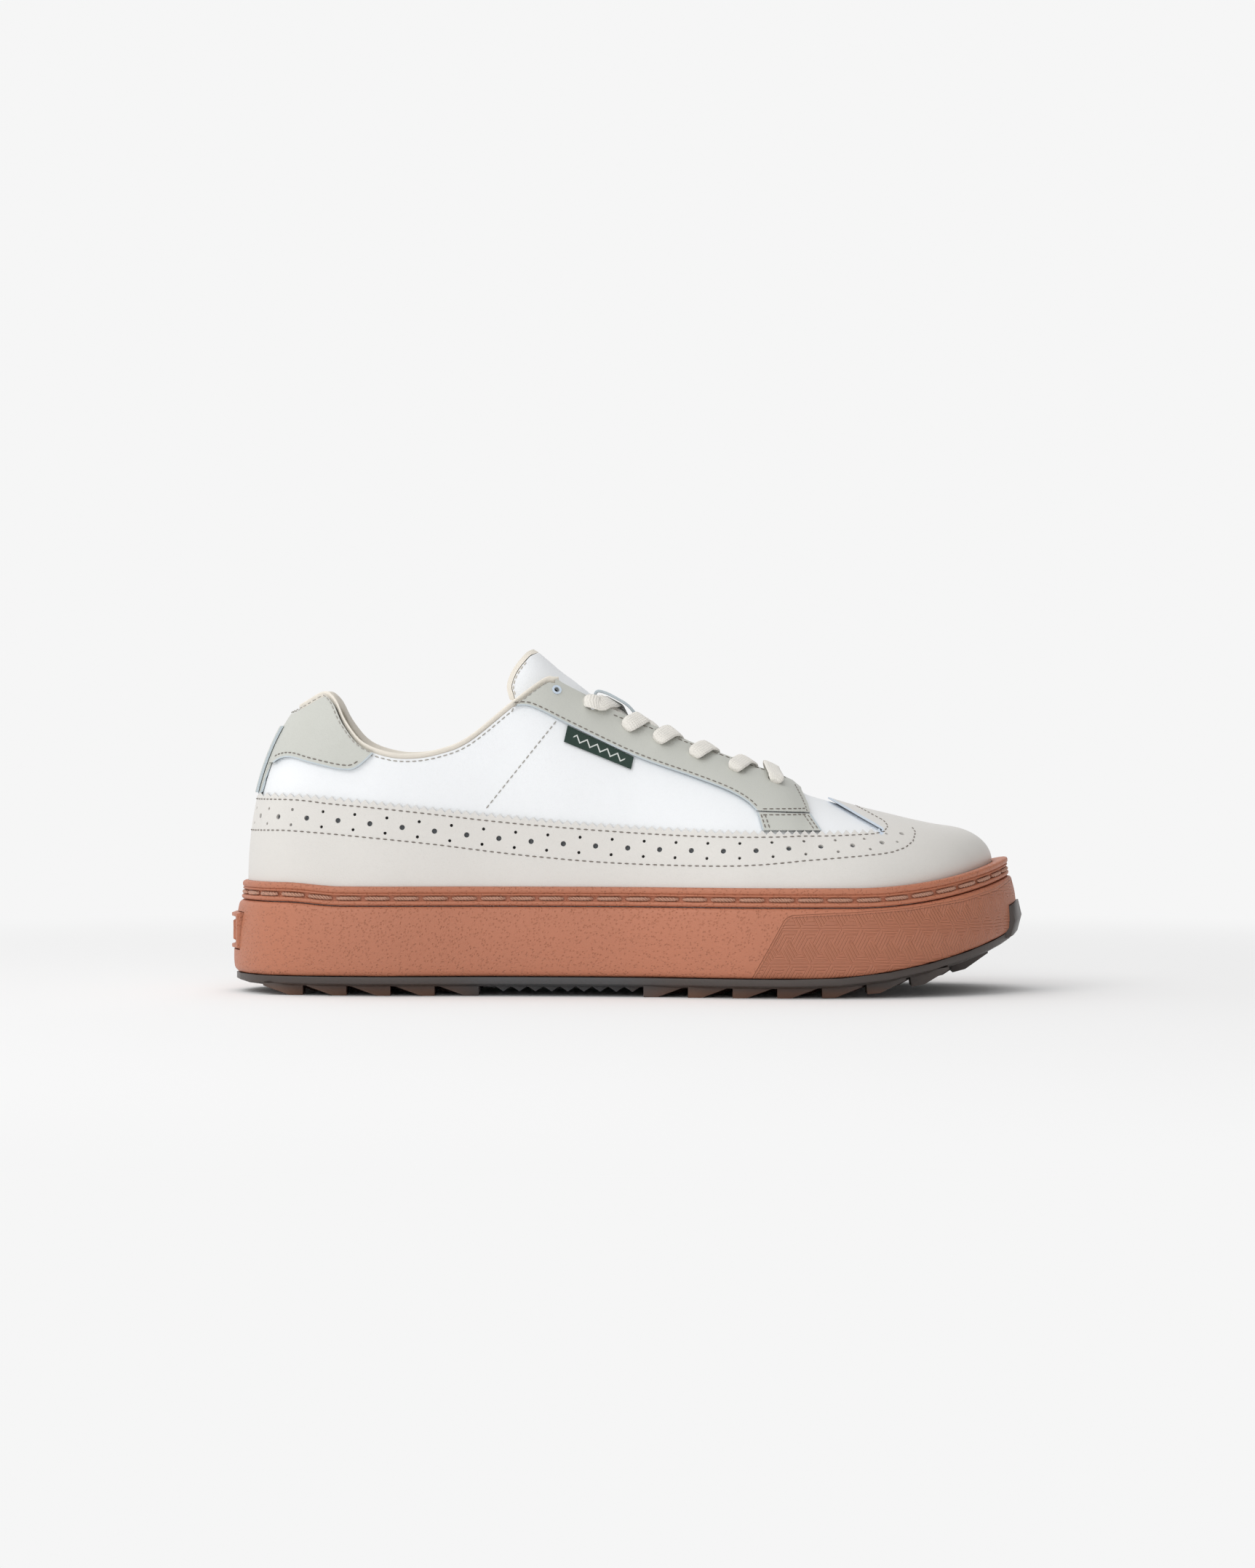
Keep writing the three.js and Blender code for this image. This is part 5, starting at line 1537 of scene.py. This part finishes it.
def lace():
    stops = [*lace_half(-1)[::-1], *lace_half(1)]
    obj = ribbon("lace_ribbon", stops)
    finished(obj, "root", WEAVE, ["lace"], 60)


KEEPER = [[-13.2, -0.8], [-12.7, 1.5], [-11.2, 3.6], [-8, 5.2], [-4, 5.9], [0, 5.8], [3, 4.3], [5, 2.1],
          [5.9, -0.6]]      # place along the tongue, height above it


def keeper():
    slope = math.hypot(1, float(ridge_slope(-5)))
    line = smooth(KEEPER, 40)
    tongue_top = ridge_line(line[:, 0]) - TONGUE_DEPTH * slope
    outside = np.stack([line[:, 0], tongue_top + line[:, 1]], 1)
    inside = lowered(outside, 1.1)
    middle = float(spine_y(-5))
    outline = [[x, z - SOLE_HEIGHT] for x, z in [*inside, *outside[::-1]]]
    obj = rounded(block(outline, middle - KEEPER_HALF_WIDTH, middle + KEEPER_HALF_WIDTH), 0.25, 2, 50)
    reach = KEEPER_HALF_WIDTH - np.abs(coordinates(obj)[:, 1] * 1000 - SHIFT_Y - middle)
    marked(obj, "cut", np.maximum(0, CUT_REACH - reach - 0.2))
    finished(named(obj, "keeper_strap"), "tongue", SAGE, ["lace_keeper"], 50)


def label():
    shape = block(LABEL, -90, 0)
    obj = panel("side_label_cloth", layer("label", GAP, GAP + LABEL_THICKNESS), [shape])
    rimmed(obj, [*LABEL, LABEL[0]])
    away_with(shape)
    finished(obj, "label", LABEL_CLOTH, ["side_label"])


# Seams

STITCH = {"Half length": 0.0009, "Half width": 0.00026, "Half height": 0.00022}


def sewn(name, tree, lines, pitch, body, finish):
    """One piece of stitches along the lines, a stitch every pitch millimetres."""
    parts = [spaced(points, normals, pitch) for points, normals in lines]
    at, run, up = (np.concatenate([part[k] for part in parts]) for k in range(3))
    finished(grown(name, at, run, up, tree, STITCH), body, finish, [], 80)


def seams():
    tree = rows_of_parts("seam_stitches", SEAM, capsule, STITCH)
    on_wing, on_sage, soft = [], [], []
    top = GAP + LEATHER + 0.08
    on_wing.append(around_heel(UPPER_STITCH, top, 91, TOE_SEAMS["upper"]))
    on_wing.append(around_heel(LOWER_STITCH, top, 103, TOE_SEAMS["lower"]))
    for side in (-1, 1):
        on_sage.append(drawn(lowered(EYESTAY_EDGE, -1.35)[1:-1], side, top))
        for rise in (29.4, 27.2):
            on_sage.append(drawn([[50.6, rise], [67.6, rise]], side, top))
        for offset in (1.3, 2.8):
            on_sage.append(drawn([[48.9 + offset, 27.6], [50.6 + offset, 22.2]], side, top))
            on_sage.append(drawn([[69.4 - offset, 27.2], [73.0 - offset, 21.9]], side, top))
        xs = np.linspace(-6, 61, 70)
        places = [over_throat(x, float(spine_y(x)) + side * (float(throat_half(x)) + 1.3)) for x in xs]
        us, ts = np.array(places).T
        on_sage.append((skin(us, ts, top), skin_up(us, ts)))
        on_sage.append(drawn([[64.2, 38.2], [66.2, 33.8], [67.6, 30.2], [68.0, 28.2]], side, top))
        soft.append(drawn([[-26.9, 62.6], [-53.6, 29.2]], side, 0.08))
    front = [p for p in lowered(TAB_EDGE, -1.8) if -136 < p[0] < -101]
    for side in (-1, 1):
        on_sage.append(drawn(front, side, top))
    u = np.linspace(station_at(-31, 1) - 1, station_at(-31, -1), 900)
    t = on_line(u, lowered(TOPLINE, BINDING_WIDTH + 1.3))
    x = skin(u, t)[:, 0]
    depth = np.where((x < -97) | (x > -43.5), top, 0.08)
    soft.append((skin(u, t, depth), skin_up(u, t)))
    sewn("wing_stitches", tree, on_wing, 2.7, "root", SEAM)
    sewn("sage_stitches", tree, on_sage, 2.4, "root", SEAM)
    sewn("collar_stitches", tree, soft, 2.4, "root", SOFT_SEAM)
    tongue_seams(tree)


def tongue_seams(tree):
    lines = []
    for side in (-1, 1):
        line = [p for p in lowered(TONGUE_REAR, -(BINDING_WIDTH + 0.7)) if p[0] < -38.5][:-1]
        lines.append(drawn(line, side, -TONGUE_DEPTH + 0.08))
    sewn("tongue_stitches", tree, lines, 2.4, "tongue", CREAM_SEAM)


def collar_padding():
    """Foam between leather and lining, ending below the rolled binding."""
    trim = block(below_collar(BINDING_WIDTH + PADDING_DROP))
    obj = carved(kept_copy("collar_foam", "collar_padding"), [trim], "INTERSECT")
    away_with(trim)
    finished(named(obj, "collar_padding"), "root", FOAM, ["collar_foam"])


def inner_parts():
    """Pieces hidden inside keep their frame shapes."""
    for node, finish in (("midsole_core", FOAM), ("strobel_board", BOARD), ("heel_counter", BOARD),
                         ("toe_puff", BOARD), ("tongue_foam", FOAM)):
        data = frame["nodes"][node].data
        data.materials.clear()
        data.materials.append(finish)


# Studio

FLOOR = 30              # metres from the middle of the floor to its edges
LIGHTS = (("key", (-1.1, -1.1, 1.3), 0.9, 6.8), ("top", (-0.3, 0.1, 1.6), 1.0, 3.6),
          ("fill", (-0.2, -1.5, 0.4), 0.9, 1.9))     # name, place, size, power


def studio():
    corners = [(-FLOOR, -FLOOR, 0), (FLOOR, -FLOOR, 0), (FLOOR, FLOOR, 0), (-FLOOR, FLOOR, 0)]
    floor = mesh_object("studio_floor", corners, [[0, 1, 2, 3]])
    floor.data.materials.append(studio_floor())
    world = bpy.data.worlds.new("studio")
    world.use_nodes = True
    tree = world.node_tree
    back = tree.nodes["Background"]
    back.inputs["Color"].default_value = (1.0, 1.0, 1.0, 1)
    place, parts = tree.nodes.new("ShaderNodeTexCoord"), tree.nodes.new("ShaderNodeSeparateXYZ")
    tree.links.new(place.outputs["Generated"], parts.inputs["Vector"])
    shade = tree.nodes.new("ShaderNodeMath")      # darker from high up on the toe's side
    shade.operation = "MULTIPLY"
    for k, (axis, low, high) in enumerate((("X", 0.25, 0.55), ("Z", 0.12, 0.3))):
        ramp = tree.nodes.new("ShaderNodeMapRange")
        ramp.inputs["From Min"].default_value, ramp.inputs["From Max"].default_value = low, high
        tree.links.new(parts.outputs[axis], ramp.inputs["Value"])
        tree.links.new(ramp.outputs["Result"], shade.inputs[k])
    light = tree.nodes.new("ShaderNodeMapRange")
    light.inputs["To Min"].default_value = STUDIO_LIGHT
    light.inputs["To Max"].default_value = STUDIO_LIGHT * 0.15
    tree.links.new(shade.outputs["Value"], light.inputs["Value"])
    tree.links.new(light.outputs["Result"], back.inputs["Strength"])
    bpy.context.scene.world = world
    bpy.context.scene.view_settings.view_transform = "Standard"
    for name, place, size, power in LIGHTS:
        light = bpy.data.objects.new(name, bpy.data.lights.new(name, "AREA"))
        light.data.size, light.data.energy = size, power
        light.location = place
        light.rotation_euler = (Vector((0, 0, 0.06)) - Vector(place)).to_track_quat("-Z", "Y").to_euler()
        bpy.context.scene.collection.objects.link(light)


look_from_lateral_side()
outsole()
cupsole()
heel_badge()
welt()
welt_stitches()
sockliner()
quarters()
vamp()
linings()
wing()
eyestay()
heel_tab()
topline_binding()
tongue()
lace()
keeper()
label()
seams()
collar_padding()
inner_parts()
away_with(*[o for o in bpy.context.scene.objects if o.type == "MESH" and not body_of(o)])
studio()
